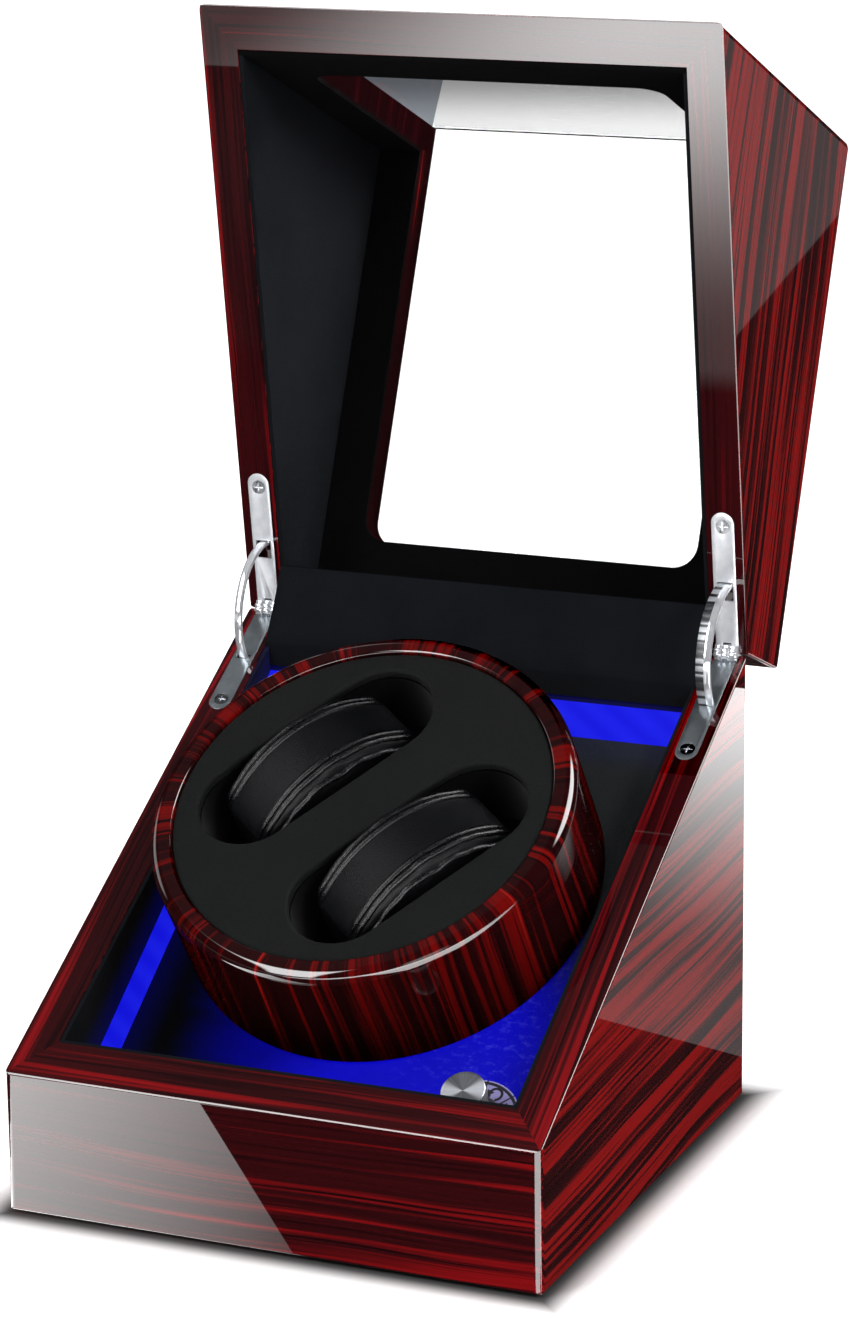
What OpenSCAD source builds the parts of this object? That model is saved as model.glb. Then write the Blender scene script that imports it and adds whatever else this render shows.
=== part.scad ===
// Double watch winder box: a lacquered wooden case whose top and upper front lift as one glazed lid,
// over a sloping deck that carries a motor-driven drum with two cushioned cups.
// Millimetres. +X is the case's right, -Y its front, +Z up; the origin is at the middle of the underside.
// The lid is drawn open, as it stands on its two stay hinges.

/* [Case] */
// Height of the base at the front
front_h = 48; // [44:1:54]
// Depth of the deck under the rim at the back wall
back_reveal = 9; // [6:0.5:14]
// Height of the lid at the back
lid_back_h = 35; // [32:0.5:45]
// Thickness of the wooden panels
wall = 13; // [13:0.5:15]
// Thickness of the felt under the case
felt_t = 1.5; // [1:0.5:3]
// Distance of the felt's edge from the case's edge
felt_inset = 3; // [2:0.5:8]
// Thickness of the bottom cover
cover_t = 5; // [4:0.5:6]
// Width of the step in the walls that the bottom cover lies in
cover_step = 6; // [5:0.5:7]
// Radius of the bottom cover's screws
cover_screw_r = 1.4; // [1.2:0.1:1.8]
// Length of the bottom cover's screws
cover_screw_len = 14; // [10:1:18]

/* [Lid] */
// Angle that the lid stands open, from closed
lid_open = 112.8; // [95:0.1:113]
// Gap between the two rims when the lid is closed
lid_gap = 0.4; // [0.3:0.1:0.8]
// Width of wood left around the window
window_margin = 30; // [26:1:40]
// Radius of the window's corners
window_r = 8.5; // [5:0.5:12]
// Thickness of the glass
glass_t = 3; // [2:0.5:4]
// Width of the step that the glass lies in
glass_step = 5; // [4:0.5:8]
// Thickness of the lining boards
liner_t = 1.5; // [1:0.1:2]
// Depth of the lining's edge under the rim
liner_inset = 0.5; // [0.2:0.1:1.5]

/* [Hinges] */
// Width of a hinge leaf
leaf_w = 8; // [7.6:0.1:8.4]
// Length of a hinge leaf from the pin
leaf_len = 50; // [45:1:60]
// Thickness of a hinge leaf
leaf_t = 1.2; // [1:0.1:1.4]
// Distance of the leaf's middle from the case's side
leaf_edge = 7.2; // [6.8:0.1:7.4]
// Distance of the leaf's screw from the leaf's end
leaf_screw_end = 5; // [4:0.5:8]
// Radius of the hinge knuckle
knuckle_r = 3; // [2.6:0.1:3.2]
// Radius of the hinge pin
pin_r = 1.2; // [1:0.1:1.4]
// Radius of the stay's curve, from the pin
stay_r = 24; // [22:0.5:26]
// Thickness of the stay
stay_t = 1.6; // [1.2:0.1:1.8]
// Width of the stay
stay_w = 5; // [4:0.1:5.2]
// Radius of the head of a hinge screw
screw_head_r = 2.5; // [2.2:0.1:2.8]
// Radius of the shank of a hinge screw
screw_r = 1.3; // [1.1:0.1:1.4]
// Length of the hinge screws
screw_len = 11; // [8:1:14]

/* [Deck] */
// Slope of the deck and the drum
deck_tilt = 35; // [33:0.5:36]
// Height of the deck's surface at the front wall
deck_front_h = 28.3; // [27:0.1:31]
// Thickness of the deck
deck_t = 3; // [2.5:0.5:4]
// Width of the light strip on the left
left_strip_w = 7.5; // [5:0.5:8]
// Width of the light strip at the back
rear_strip_w = 15; // [10:1:15]
// Width of the rails under the deck
rail_w = 18; // [16:1:20]
// Depth of the rails under the deck
rail_t = 8; // [6:1:10]
// Distance of the control knob right of the drum's axis
knob_x = 57; // [54:0.5:59]
// Distance of the control knob in front of the drum's axis, along the deck
knob_y = 84; // [82:0.5:85]
// Height of the knob above the deck
knob_h = 16; // [14:0.5:17]
// Radius of the knob's head
knob_r = 7.25; // [6.5:0.25:8]
// Radius of the round scale under the knob
dial_r = 14.5; // [12:0.5:15]
// Thickness of the round scale
dial_t = 0.8; // [0.5:0.1:1.2]

/* [Drum] */
// Depth of the drum from its face to its underside
drum_h = 44; // [42:0.5:46]
// Thickness of the drum's wooden ring around the face
drum_wall = 7.5; // [6:0.5:8]
// Radius of the drum's rounded front edge
drum_edge_r = 3.5; // [2:0.5:5]
// Gap between the drum and the deck
drum_gap = 0.8; // [0.6:0.1:1.5]
// Gap between the drum's edge and the lining in front of it
drum_front_gap = 2.8; // [2:0.1:4]
// Gap between the drum's edge and the lining beside it
drum_side_gap = 7; // [5:0.5:10]
// Gap between the drum's edge and the lining behind it
drum_rear_gap = 12.2; // [10:0.1:16]
// Thickness of the drum's face and of its back plate
plate_t = 4; // [3:0.5:5]
// Length of a cup's mouth
cup_len = 87.5; // [84:0.5:90]
// Width of a cup's mouth
cup_w = 35; // [32:0.5:36]
// Width of the face between the two cups
cup_bridge = 21; // [16:0.5:24]
// Width of the face between the cups and the wooden ring
cup_margin = 7.62; // [6.6:0.01:10]
// Depth of a cup under the face
cup_depth = 28; // [26:0.5:30]
// Thickness of a cup's wall
cup_t = 1.4; // [1:0.1:2]
// Turn of the cups' long side from the case's width, as the drum stands
cup_turn = 53; // [0:1:90]
// Length of a cushion
cushion_len = 66; // [60:1:70]
// Width of a cushion
cushion_w = 31; // [26:0.5:32]
// Height of a cushion's crown above the face
cushion_crown = 7; // [4:0.5:8]
// Drop of a cushion's top from its crown to its ends
cushion_drop = 15; // [10:1:18]
// Distance that a cushion lifts to come out of its cup
cushion_lift = 28; // [24:1:28]

/* [Drive] */
// Radius of the spindle
spindle_r = 3; // [2.5:0.1:3.5]
// Radius of the bushes
bush_r = 5; // [4.6:0.1:5.4]
// Length of a bush
bush_len = 4; // [3:0.5:5]
// Length of the bearing tube under the deck
tube_len = 39; // [34:1:40]
// Running clearance of shafts and pins
run_gap = 0.04; // [0.02:0.01:0.08]
// Radius of the drive wheel under its belt
wheel_r = 24; // [20:0.5:25]
// Radius of the motor pulley under its belt
pulley_r = 5; // [4:0.5:6]
// Distance between the motor's axis and the drum's
motor_off = 40; // [38:0.5:42]
// Radius of the motor
motor_r = 12.5; // [11:0.5:13]
// Length of the motor
motor_len = 30; // [26:1:33]
// Width and thickness of the drive belt
belt_t = 2.4; // [2:0.1:2.6]
// Height of the power socket's middle above the surface
socket_z = 24; // [20:1:30]
// Distance of the power socket right of the case's middle
socket_x = 45; // [30:1:50]

/* [Hidden] */
$fn = 64;

far = 400;                          // longer than the whole case, for cutting solids
slack = 0.2;                        // room around boards that are laid between walls

// The drum's size follows from its cups, and the case's from the drum
cup_off = (cup_w + cup_bridge) / 2;
cup_reach = norm([(cup_len - cup_w) / 2, cup_off]) + cup_w / 2;
ring_r = cup_reach + cup_margin;
drum_r = ring_r + drum_wall;
case_w = 2 * (drum_r + drum_side_gap + liner_t + wall);
case_d = 2 * (drum_r * cos(deck_tilt) + liner_t + wall)
    + (drum_h + drum_gap) * sin(deck_tilt) + drum_front_gap + drum_rear_gap;

// Plan of the case
half_w = case_w / 2;
half_d = case_d / 2;
in_w = half_w - wall;
in_d = half_d - wall;
liner_w = in_w - liner_t;
liner_d = in_d - liner_t;

// The deck's frame: its origin is where the drum's axis meets the deck's surface
deck_y = -half_d + wall + liner_t + drum_front_gap + drum_r * cos(deck_tilt)
    + (drum_h + drum_gap) * sin(deck_tilt);
deck_z = deck_front_h + (deck_y + in_d) * tan(deck_tilt);
face_z = drum_gap + drum_h;
strip_edge_y = (liner_d - slack - deck_y) / cos(deck_tilt) - rear_strip_w;

// The sloping rims, and the hinge line at their back
deck_back_h = deck_z + (in_d - deck_y) * tan(deck_tilt);
rim_angle = atan((deck_back_h + back_reveal - front_h) / (half_d + in_d));
back_h = front_h + case_d * tan(rim_angle);
case_h = back_h + lid_back_h;
rim_rise = lid_gap / cos(rim_angle);
pivot_y = half_d;
pivot_z = back_h + rim_rise / 2;
base_profile = [[-half_d, felt_t], [half_d, felt_t], [half_d, back_h], [-half_d, front_h]];
lid_profile = [
    [-half_d, front_h + rim_rise],
    [half_d, back_h + rim_rise],
    [half_d, case_h],
    [-half_d, case_h]
];
front_plan = [[-half_w, -half_d], [half_w, -half_d], [in_w, -in_d], [-in_w, -in_d]];
side_plan = [[half_w, -half_d], [half_w, half_d], [in_w, in_d], [in_w, -in_d]];

// Window
window_w = half_w - window_margin;
window_back = half_d - window_margin;
window_low = front_h + rim_rise + window_margin;

// Hinges
leaf_x = half_w - leaf_edge;
leaf_screw_y = leaf_len - leaf_screw_end;
leaf_top = lid_gap / 2 + leaf_t;
stay_foot_t = 1.2;
stay_foot_w = stay_w + 1.4;
stay_foot_len = stay_t + 4.4;
stay_tip = lid_open + asin(leaf_top / stay_r) + 0.15;
stay_end = stay_tip + 1.3;
stay_room = 0.5;
leaf_split = leaf_w / 6;            // half the width of the base's middle knuckle
knuckle_gap = 0.1;
slot_w = stay_w + 0.6;
slot_back = stay_r - stay_t / 2 - 4.7;
slot_front = stay_r + stay_t / 2 + 0.4;

// Drum
ledge_w = 2;
ring_lip = 0.8;                     // height of the ring above the face
hub_flange_r = 15;
hub_flange_t = 3;
hub_r = 7;
hub_h = 9;
hub_screw_r = 1.2;
hub_screw_pcd = 11;
cup_rim = 2.5;
cup_rim_t = 1;
cushion_gap = 0.3;
cushion_r = (pow(cushion_len / 2, 2) + pow(cushion_drop, 2)) / (2 * cushion_drop);

// Drive, in the deck's frame, below the deck
spigot_r = bush_r + 2.9;
tube_r = bush_r + 3;
flange_r = 18;
flange_t = 3;
flange_screw_r = 13;
tube_end = deck_t + tube_len;
bush_top = 1;
wheel_top = tube_end + 6;
wheel_t = 6;
wheel_rim = 1.5;
belt_z = wheel_top + wheel_t / 2;
belt_gap = 0.05;
belt_room = 0.2;
motor_plate_t = 1.5;
motor_face = deck_t + 5 + motor_len;
bracket_w = motor_r + 2.5;
bracket_d = motor_r - 0.5;
bracket_foot = 11;
boss_r = 4;
shaft_r = 1.5;
shaft_end = wheel_top + wheel_t + 2;
machine_screw_r = 1.2;
motor_screw_r = 0.9;
motor_screw_x = 8;

// Control
switch_w = 18;
switch_h = 10;
bushing_r = 3.6;
switch_shaft_r = 3;
bushing_top = dial_t + 1.4;
knob_low = dial_t + 0.3;
knob_head = 3.1;
board_w = 56;
board_d = 40;
board_t = 1.6;
board_lift = 4;
board_post_r = 2.5;
board_post_in = 4;
board_gap = 22;                     // from the front and left walls to the control board
chip_size = [14, 12, 3];
terminal_size = [12, 10, 6];
capacitor_r = 4;
capacitor_h = 9;

// Light
led_board_w = 5;
led_board_t = 1.2;
led_groove_t = 2.6;
led_pitch = 15;

// Power socket
socket_r = 4;
socket_flange_r = 6.5;
socket_bore_r = 2.75;
socket_pin_r = 1;
socket_len = wall + 6;
socket_nut_t = 2.5;

// ---- Helpers

// Pulls a (y, z) outline out along X
module along_x(x0, x1) {
    translate([x0, 0, 0]) rotate([90, 0, 90]) linear_extrude(x1 - x0) children();
}

// Pulls an (x, z) outline out along Y
module along_y(y0, y1) {
    translate([0, y1, 0]) rotate([90, 0, 0]) linear_extrude(y1 - y0) children();
}

// A block between two corners
module block(low, high) {
    translate(low) cube(high - low);
}

// A rectangle with round corners
module round_rect(x0, x1, y0, y1, r) {
    translate([x0 + r, y0]) square([x1 - x0 - 2 * r, y1 - y0]);
    translate([x0, y0 + r]) square([x1 - x0, y1 - y0 - 2 * r]);
    for (x = [x0 + r, x1 - r], y = [y0 + r, y1 - r])
        translate([x, y]) circle(r);
}

// A rectangle with half-round ends, along X
module slot_shape(len, w) {
    square([len - w, w], center = true);
    for (s = [-1, 1])
        translate([s * (len - w) / 2, 0]) circle(w / 2);
}

// Places things on the deck
module on_deck() {
    translate([0, deck_y, deck_z]) rotate([deck_tilt, 0, 0]) children();
}

// Turns the closed lid open about the hinge line
module lid_opened() {
    translate([0, pivot_y, pivot_z]) rotate([-lid_open, 0, 0]) translate([0, -pivot_y, -pivot_z]) children();
}

// A hinge's own frame: the pin along X, the closed rims between -Z and +Z, the leaves towards -Y
module at_hinge(side) {
    translate([side * leaf_x, pivot_y, pivot_z]) rotate([rim_angle, 0, 0]) children();
}

// A stretch of a ring about the hinge pin, from angle a0 to a1, turned from the rim's front upwards
module hinge_arc(r0, r1, w, a0, a1) {
    steps = ceil((a1 - a0) / 30);
    wedge = [for (i = [0:steps])
        let (a = a0 + (a1 - a0) * i / steps)
        [-2 * r1 * cos(a), 2 * r1 * sin(a)]];
    translate([-w / 2, 0, 0])
        rotate([90, 0, 90])
            linear_extrude(w)
                intersection() {
                    difference() {
                        circle(r1);
                        circle(r0);
                    }
                    polygon(concat([[0, 0]], wedge));
                }
}

// A countersunk wood screw pointing down -Z, its head's top at Z = 0
module wood_screw(head_r, r, len) {
    head_h = head_r - r;
    cross_w = head_r * 0.22;
    difference() {
        union() {
            translate([0, 0, -head_h]) cylinder(h = head_h, r1 = r, r2 = head_r);
            translate([0, 0, -len + r]) cylinder(h = len - r, r = r);
            translate([0, 0, -len]) cylinder(h = r, r1 = r * 0.2, r2 = r);
        }
        for (a = [0, 90])
            rotate([0, 0, a])
                translate([-head_r * 0.7, -cross_w / 2, -head_h * 0.45])
                    cube([head_r * 1.4, cross_w, head_h]);
    }
}

// A pan-head machine screw pointing up +Z, the underside of its head at Z = 0
module pan_screw(r, len) {
    translate([0, 0, -r]) cylinder(h = r, r = 1.9 * r);
    cylinder(h = len, r = r);
}

// ---- Case panels, mitred at the corners

module case_panel(plan, profile) {
    intersection() {
        translate([0, 0, -1]) linear_extrude(case_h + 2) polygon(plan);
        along_x(-half_w, half_w) polygon(profile);
    }
}

// Hollows for the hinges in the base's wood
module base_hinge_cuts() {
    for (s = [-1, 1])
        at_hinge(s) {
            leaf_recess(-leaf_top, 1);
            block(
                [-stay_foot_w / 2 - stay_room, -stay_r - stay_foot_len / 2 - stay_room, -leaf_top - stay_foot_t - stay_room],
                [stay_foot_w / 2 + stay_room, -stay_r + stay_foot_len / 2 + stay_room, -leaf_top + 0.01]
            );
            translate([0, -leaf_screw_y, -screw_len - lid_gap / 2]) cylinder(h = screw_len, r = screw_r + 0.05);
        }
}

// Hollows for the hinges in the lid's wood, with the lid closed
module lid_hinge_cuts() {
    for (s = [-1, 1])
        at_hinge(s) {
            mirror([0, 0, 1]) leaf_recess(-leaf_top, 1);
            hinge_arc(
                stay_r - stay_t / 2 - stay_room,
                stay_r + stay_t / 2 + stay_room,
                stay_foot_w + 2 * stay_room,
                0,
                stay_end + 0.3
            );
            block(
                [-slot_w / 2 - stay_room, -slot_front - stay_room, 0],
                [slot_w / 2 + stay_room, -slot_back, leaf_top + 3]
            );
            translate([0, -leaf_screw_y, lid_gap / 2]) cylinder(h = screw_len, r = screw_r + 0.05);
        }
}

// The hollow that one leaf and the knuckle lie in
module leaf_recess(z0, z1) {
    fit = 0.1;
    knuckle_fit = 0.3;
    knuckle_room = knuckle_r + 0.4;
    knuckle_front = -knuckle_room - 0.6;
    translate([0, 0, z0])
        linear_extrude(z1 - z0) {
            translate([-leaf_w / 2 - fit, -leaf_len + leaf_w / 2])
                square([leaf_w + 2 * fit, leaf_len - leaf_w / 2]);
            translate([0, -leaf_len + leaf_w / 2]) circle(leaf_w / 2 + fit);
            translate([-leaf_w / 2 - knuckle_fit, knuckle_front])
                square([leaf_w + 2 * knuckle_fit, knuckle_room - knuckle_front]);
        }
    translate([-leaf_w / 2 - knuckle_fit, 0, 0])
        rotate([0, 90, 0])
            cylinder(h = leaf_w + 2 * knuckle_fit, r = knuckle_room);
}

// The step around the underside that the bottom cover lies in, and its screw holes
module base_cover_cuts() {
    block(
        [-in_w - cover_step, -in_d - cover_step, 0],
        [in_w + cover_step, in_d + cover_step, felt_t + cover_t]
    );
    cover_screw_places() cylinder(h = cover_screw_len, r = cover_screw_r + 0.05);
}

module cover_screw_places() {
    for (x = [-1, 0, 1], y = [-1, 1])
        translate([x * (in_w - wall), y * (in_d + cover_step / 2), felt_t]) children();
}

module base_front_panel() {
    color("#4a0d12")
        difference() {
            case_panel(front_plan, base_profile);
            base_cover_cuts();
        }
}

module base_rear_panel() {
    color("#4a0d12")
        difference() {
            mirror([0, 1, 0]) case_panel(front_plan, [for (p = base_profile) [-p[0], p[1]]]);
            base_cover_cuts();
            base_hinge_cuts();
            translate([socket_x, in_d - 1, socket_z])
                rotate([-90, 0, 0])
                    cylinder(h = wall + 2, r = socket_r + 0.1);
        }
}

module base_side(side) {
    color("#4a0d12")
        difference() {
            case_panel([for (p = side_plan) [side * p[0], p[1]]], base_profile);
            base_cover_cuts();
            base_hinge_cuts();
        }
}

module base_left_side() {
    base_side(-1);
}

module base_right_side() {
    base_side(1);
}

module bottom_cover() {
    edge_w = in_w + cover_step - slack;
    edge_d = in_d + cover_step - slack;
    head_h = cover_screw_r;
    color("#2b2326")
        difference() {
            block([-edge_w, -edge_d, felt_t], [edge_w, edge_d, felt_t + cover_t]);
            cover_screw_places() {
                translate([0, 0, -1]) cylinder(h = cover_t + 2, r = cover_screw_r + 0.1);
                translate([0, 0, -0.01]) cylinder(h = head_h, r1 = 2 * cover_screw_r + 0.1, r2 = cover_screw_r);
            }
        }
}

module felt_pad() {
    color("#17171a")
        linear_extrude(felt_t)
            round_rect(
                -half_w + felt_inset, half_w - felt_inset,
                -half_d + felt_inset, half_d - felt_inset,
                4
            );
}

module cover_screws() {
    color("#b8babd")
        cover_screw_places()
            mirror([0, 0, 1])
                wood_screw(2 * cover_screw_r, cover_screw_r, cover_screw_len - 1);
}

// ---- Linings of the base, standing on the deck's rails

// The space over the deck's underside and under the base's rim
module base_liner_space() {
    intersection() {
        along_x(-half_w, half_w)
            polygon([
                [-half_d, front_h - liner_inset],
                [half_d, back_h - liner_inset],
                [half_d, 0],
                [-half_d, 0]
            ]);
        on_deck() block([-far, -far, -deck_t], [far, far, far]);
    }
}

module base_liner_front() {
    color("#1b1c20")
        intersection() {
            base_liner_space();
            block([-in_w, -in_d, 0], [in_w, -liner_d, far]);
        }
}

module base_liner_rear() {
    color("#1b1c20")
        intersection() {
            base_liner_space();
            block([-in_w, liner_d, 0], [in_w, in_d, far]);
        }
}

module base_liner_side(side) {
    color("#1b1c20")
        intersection() {
            base_liner_space();
            scale([side, 1, 1]) block([liner_w, -liner_d + 0.1, 0], [in_w, liner_d - 0.1, far]);
        }
}

module base_liner_left() {
    mirror([1, 0, 0]) base_liner_side(1);
}

module base_liner_right() {
    base_liner_side(1);
}

// ---- Deck, rails and lights

// A sloping board between two heights over the deck, cut upright at the walls
module deck_slab(x0, x1, y0, y1, z0, z1) {
    intersection() {
        on_deck() block([x0, -case_d, z0], [x1, case_d, z1]);
        block([x0 - 1, y0, 0], [x1 + 1, y1, case_h]);
    }
}

module deck_panel() {
    edge_x = -liner_w + slack + left_strip_w;
    color("#202125")
        difference() {
            deck_slab(edge_x + 0.1, liner_w - slack, -liner_d + slack, liner_d, -deck_t, 0);
            on_deck() {
                block([-far, strip_edge_y, -far], [far, far, far]);
                translate([0, 0, -deck_t - 1]) cylinder(h = deck_t + 2, r = spigot_r + 0.1);
                flange_screw_places() cylinder(h = 2 * deck_t, r = machine_screw_r + 0.05, center = true);
                bracket_screw_places() cylinder(h = 2 * deck_t, r = machine_screw_r + 0.05, center = true);
                translate([knob_x, -knob_y, -deck_t - 1]) cylinder(h = deck_t + 2, r = bushing_r + 0.1);
            }
        }
}

module deck_rails() {
    low = -deck_t - rail_t;
    color("#8a6a45") {
        difference() {
            union() {
                deck_slab(-in_w, -in_w + rail_w, -in_d, in_d, low, -deck_t);
                deck_slab(in_w - rail_w, in_w, -in_d, in_d, low, -deck_t);
            }
            on_deck() {
                left_led_place() translate([0, 0, -led_groove_t / 2])
                    cube([led_board_w + 0.4, 2 * far, led_groove_t], center = true);
                translate([knob_x, -knob_y, -deck_t - rail_t / 2])
                    cube([switch_w + 2, switch_w + 2, 2 * rail_t], center = true);
            }
        }
        deck_slab(-in_w + rail_w + 0.1, in_w - rail_w - 0.1, -in_d, -in_d + rail_w - 6, low, -deck_t);
        difference() {
            deck_slab(-in_w + rail_w + 0.1, in_w - rail_w - 0.1, -in_d, in_d, low, -deck_t);
            on_deck() {
                block([-far, -far, -far], [far, strip_edge_y - rail_w + 8, far]);
                rear_led_place() translate([0, 0, -led_groove_t / 2])
                    cube([2 * far, led_board_w + 0.4, led_groove_t], center = true);
            }
        }
    }
}

// The middles of the two light strips, at the deck's underside
module left_led_place() {
    translate([-liner_w + slack + left_strip_w / 2, 0, -deck_t]) children();
}

module rear_led_place() {
    translate([0, strip_edge_y + rear_strip_w / 2, -deck_t]) children();
}

module light_strip_left() {
    x0 = -liner_w + slack;
    color("#2026ff")
        difference() {
            deck_slab(x0, x0 + left_strip_w, -liner_d + slack, liner_d, -deck_t, 0);
            on_deck() block([-far, strip_edge_y, -far], [far, far, far]);
        }
}

module light_strip_rear() {
    color("#2026ff")
        difference() {
            deck_slab(-liner_w + slack, liner_w - slack, -liner_d, liner_d - slack, -deck_t, 0);
            on_deck() block([-far, -far, -far], [far, strip_edge_y + 0.1, far]);
        }
}

// One row of lamps on its board, along Y
module led_row(y0, y1) {
    count = floor((y1 - y0) / led_pitch);
    translate([-led_board_w / 2, y0, -led_groove_t])
        cube([led_board_w, y1 - y0, led_board_t]);
    for (i = [0:count - 1])
        translate([-1.4, y0 + led_pitch * (i + 0.5) - 1.4, -led_groove_t + led_board_t])
            cube([2.8, 2.8, 0.9]);
}

module led_boards() {
    led_x = in_w - rail_w - 4;
    color("#e8eaf2") on_deck() {
        left_led_place() led_row((-liner_d + 8 - deck_y) / cos(deck_tilt), strip_edge_y - 6);
        rear_led_place() rotate([0, 0, 90]) led_row(-led_x, led_x);
    }
}

// ---- Bearing, motor and belt, hung under the deck

module flange_screw_places() {
    for (a = [30, 150, 270])
        rotate([0, 0, a]) translate([flange_screw_r, 0, 0]) children();
}

module bracket_screw_places() {
    for (s = [-1, 1])
        translate([s * (bracket_w + bracket_foot / 2 + 1), -motor_off, 0]) children();
}

module bearing_tube() {
    color("#3a3b3f") on_deck()
        difference() {
            union() {
                translate([0, 0, -deck_t - flange_t]) cylinder(h = flange_t, r = flange_r);
                translate([0, 0, -tube_end]) cylinder(h = tube_len, r = tube_r);
                translate([0, 0, -deck_t]) cylinder(h = deck_t - 0.4, r = spigot_r);
            }
            translate([0, 0, -tube_end - 1]) cylinder(h = tube_end + 2, r = bush_r - 1);
            translate([0, 0, -bush_top - bush_len]) cylinder(h = far, r = bush_r);
            translate([0, 0, -far]) cylinder(h = far - tube_end + bush_len, r = bush_r);
            flange_screw_places()
                translate([0, 0, -deck_t - flange_t - 1])
                    cylinder(h = flange_t + 2, r = machine_screw_r + 0.1);
        }
}

module spindle_bushes() {
    color("#b98b4e") on_deck()
        for (z = [-bush_top - bush_len, -tube_end])
            translate([0, 0, z])
                difference() {
                    cylinder(h = bush_len, r = bush_r);
                    translate([0, 0, -1]) cylinder(h = bush_len + 2, r = spindle_r + run_gap);
                }
}

module mechanism_screws() {
    color("#b8babd") on_deck() {
        flange_screw_places()
            translate([0, 0, -deck_t - flange_t]) pan_screw(machine_screw_r, flange_t + deck_t - 0.5);
        bracket_screw_places()
            translate([0, 0, -deck_t - motor_plate_t]) pan_screw(machine_screw_r, motor_plate_t + deck_t - 0.5);
        for (s = [-1, 1])
            translate([s * motor_screw_x, -motor_off, -motor_face - motor_plate_t])
                pan_screw(motor_screw_r, motor_plate_t + 3);
    }
}

module motor_bracket() {
    foot_x = bracket_w + bracket_foot;
    color("#9ea1a6") on_deck() translate([0, -motor_off, 0])
        difference() {
            union() {
                block(
                    [-bracket_w - motor_plate_t, -bracket_d, -motor_face - motor_plate_t],
                    [bracket_w + motor_plate_t, bracket_d, -motor_face]
                );
                for (s = [0, 1])
                    mirror([s, 0, 0]) {
                        block(
                            [bracket_w, -bracket_d, -motor_face],
                            [bracket_w + motor_plate_t, bracket_d, -deck_t]
                        );
                        block([bracket_w, -bracket_d, -deck_t - motor_plate_t], [foot_x, bracket_d, -deck_t]);
                    }
            }
            translate([0, 0, -motor_face - motor_plate_t - 1])
                cylinder(h = motor_plate_t + 2, r = boss_r + 0.1);
            for (s = [-1, 1]) {
                translate([s * motor_screw_x, 0, -motor_face - motor_plate_t - 1])
                    cylinder(h = motor_plate_t + 2, r = motor_screw_r + 0.1);
                translate([s * (bracket_w + bracket_foot / 2 + 1), 0, -deck_t - motor_plate_t - 1])
                    cylinder(h = motor_plate_t + 2, r = machine_screw_r + 0.1);
            }
        }
}

module motor() {
    color("#c9ccd1") on_deck() translate([0, -motor_off, 0])
        difference() {
            union() {
                translate([0, 0, -motor_face]) cylinder(h = motor_len, r = motor_r);
                translate([0, 0, -motor_face - motor_plate_t - 1]) cylinder(h = motor_plate_t + 1, r = boss_r);
            }
            translate([0, 0, -motor_face - 3]) cylinder(h = motor_len * 0.7, r = shaft_r + run_gap);
            for (s = [-1, 1])
                translate([s * motor_screw_x, 0, -motor_face - 1])
                    cylinder(h = 4.5, r = motor_screw_r + 0.05);
        }
}

module motor_shaft() {
    length = shaft_end - motor_face + motor_len * 0.5;
    color("#d5d7da") on_deck() translate([0, -motor_off, -shaft_end])
        cylinder(h = length, r = shaft_r);
}

// A wheel with a flat groove for the belt, its groove at radius r
module belt_wheel(r) {
    difference() {
        translate([0, 0, -wheel_t / 2]) cylinder(h = wheel_t, r = r + wheel_rim);
        difference() {
            translate([0, 0, -belt_t / 2 - belt_room]) cylinder(h = belt_t + 2 * belt_room, r = r + wheel_rim + 1);
            translate([0, 0, -belt_t]) cylinder(h = 2 * belt_t, r = r);
        }
    }
}

module motor_pulley() {
    color("#e4e2da") on_deck() translate([0, -motor_off, -belt_z])
        difference() {
            belt_wheel(pulley_r);
            translate([0, 0, -wheel_t]) cylinder(h = 2 * wheel_t, r = shaft_r + 0.01);
        }
}

// The outline of a belt's inside or outside, round both wheels
module belt_outline(extra) {
    hull() {
        circle(wheel_r + extra);
        translate([0, -motor_off]) circle(pulley_r + extra);
    }
}

module drive_belt() {
    color("#222222") on_deck() translate([0, 0, -belt_z - belt_t / 2])
        linear_extrude(belt_t)
            difference() {
                belt_outline(belt_gap + wheel_rim - 0.3);
                belt_outline(belt_gap);
            }
}

// ---- Control and power

module control_board() {
    top = felt_t + cover_t + board_lift + board_t;
    color("#1f5a36")
        translate([board_gap + board_w / 2 - in_w, board_gap + board_d / 2 - in_d, 0]) {
            translate([0, 0, top - board_t / 2]) cube([board_w, board_d, board_t], center = true);
            for (x = [-1, 1], y = [-1, 1])
                translate([
                    x * (board_w / 2 - board_post_in),
                    y * (board_d / 2 - board_post_in),
                    felt_t + cover_t
                ])
                    cylinder(h = board_lift, r = board_post_r);
            translate([-chip_size[0] / 2, -chip_size[1] / 2, top]) cube(chip_size);
            translate([board_w / 2 - terminal_size[0] - board_post_in, terminal_size[1] - board_d / 2, top])
                cube(terminal_size);
            translate([board_post_in + capacitor_r - board_w / 2, board_d / 2 - capacitor_r - board_post_in, top])
                cylinder(h = capacitor_h, r = capacitor_r);
        }
}

module mode_switch() {
    color("#2a2b2e") on_deck() translate([knob_x, -knob_y, 0])
        difference() {
            union() {
                block([-switch_w / 2, -switch_w / 2, -deck_t - switch_h], [switch_w / 2, switch_w / 2, -deck_t]);
                translate([0, 0, -deck_t]) cylinder(h = deck_t + bushing_top, r = bushing_r);
            }
            translate([0, 0, -deck_t - switch_h + 1]) cylinder(h = far, r = switch_shaft_r + run_gap);
        }
}

module dial_plate() {
    color("#e9e8f0") on_deck() translate([knob_x, -knob_y, 0])
        difference() {
            cylinder(h = dial_t, r = dial_r);
            translate([0, 0, -1]) cylinder(h = dial_t + 2, r = bushing_r + 0.1);
        }
}

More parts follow.
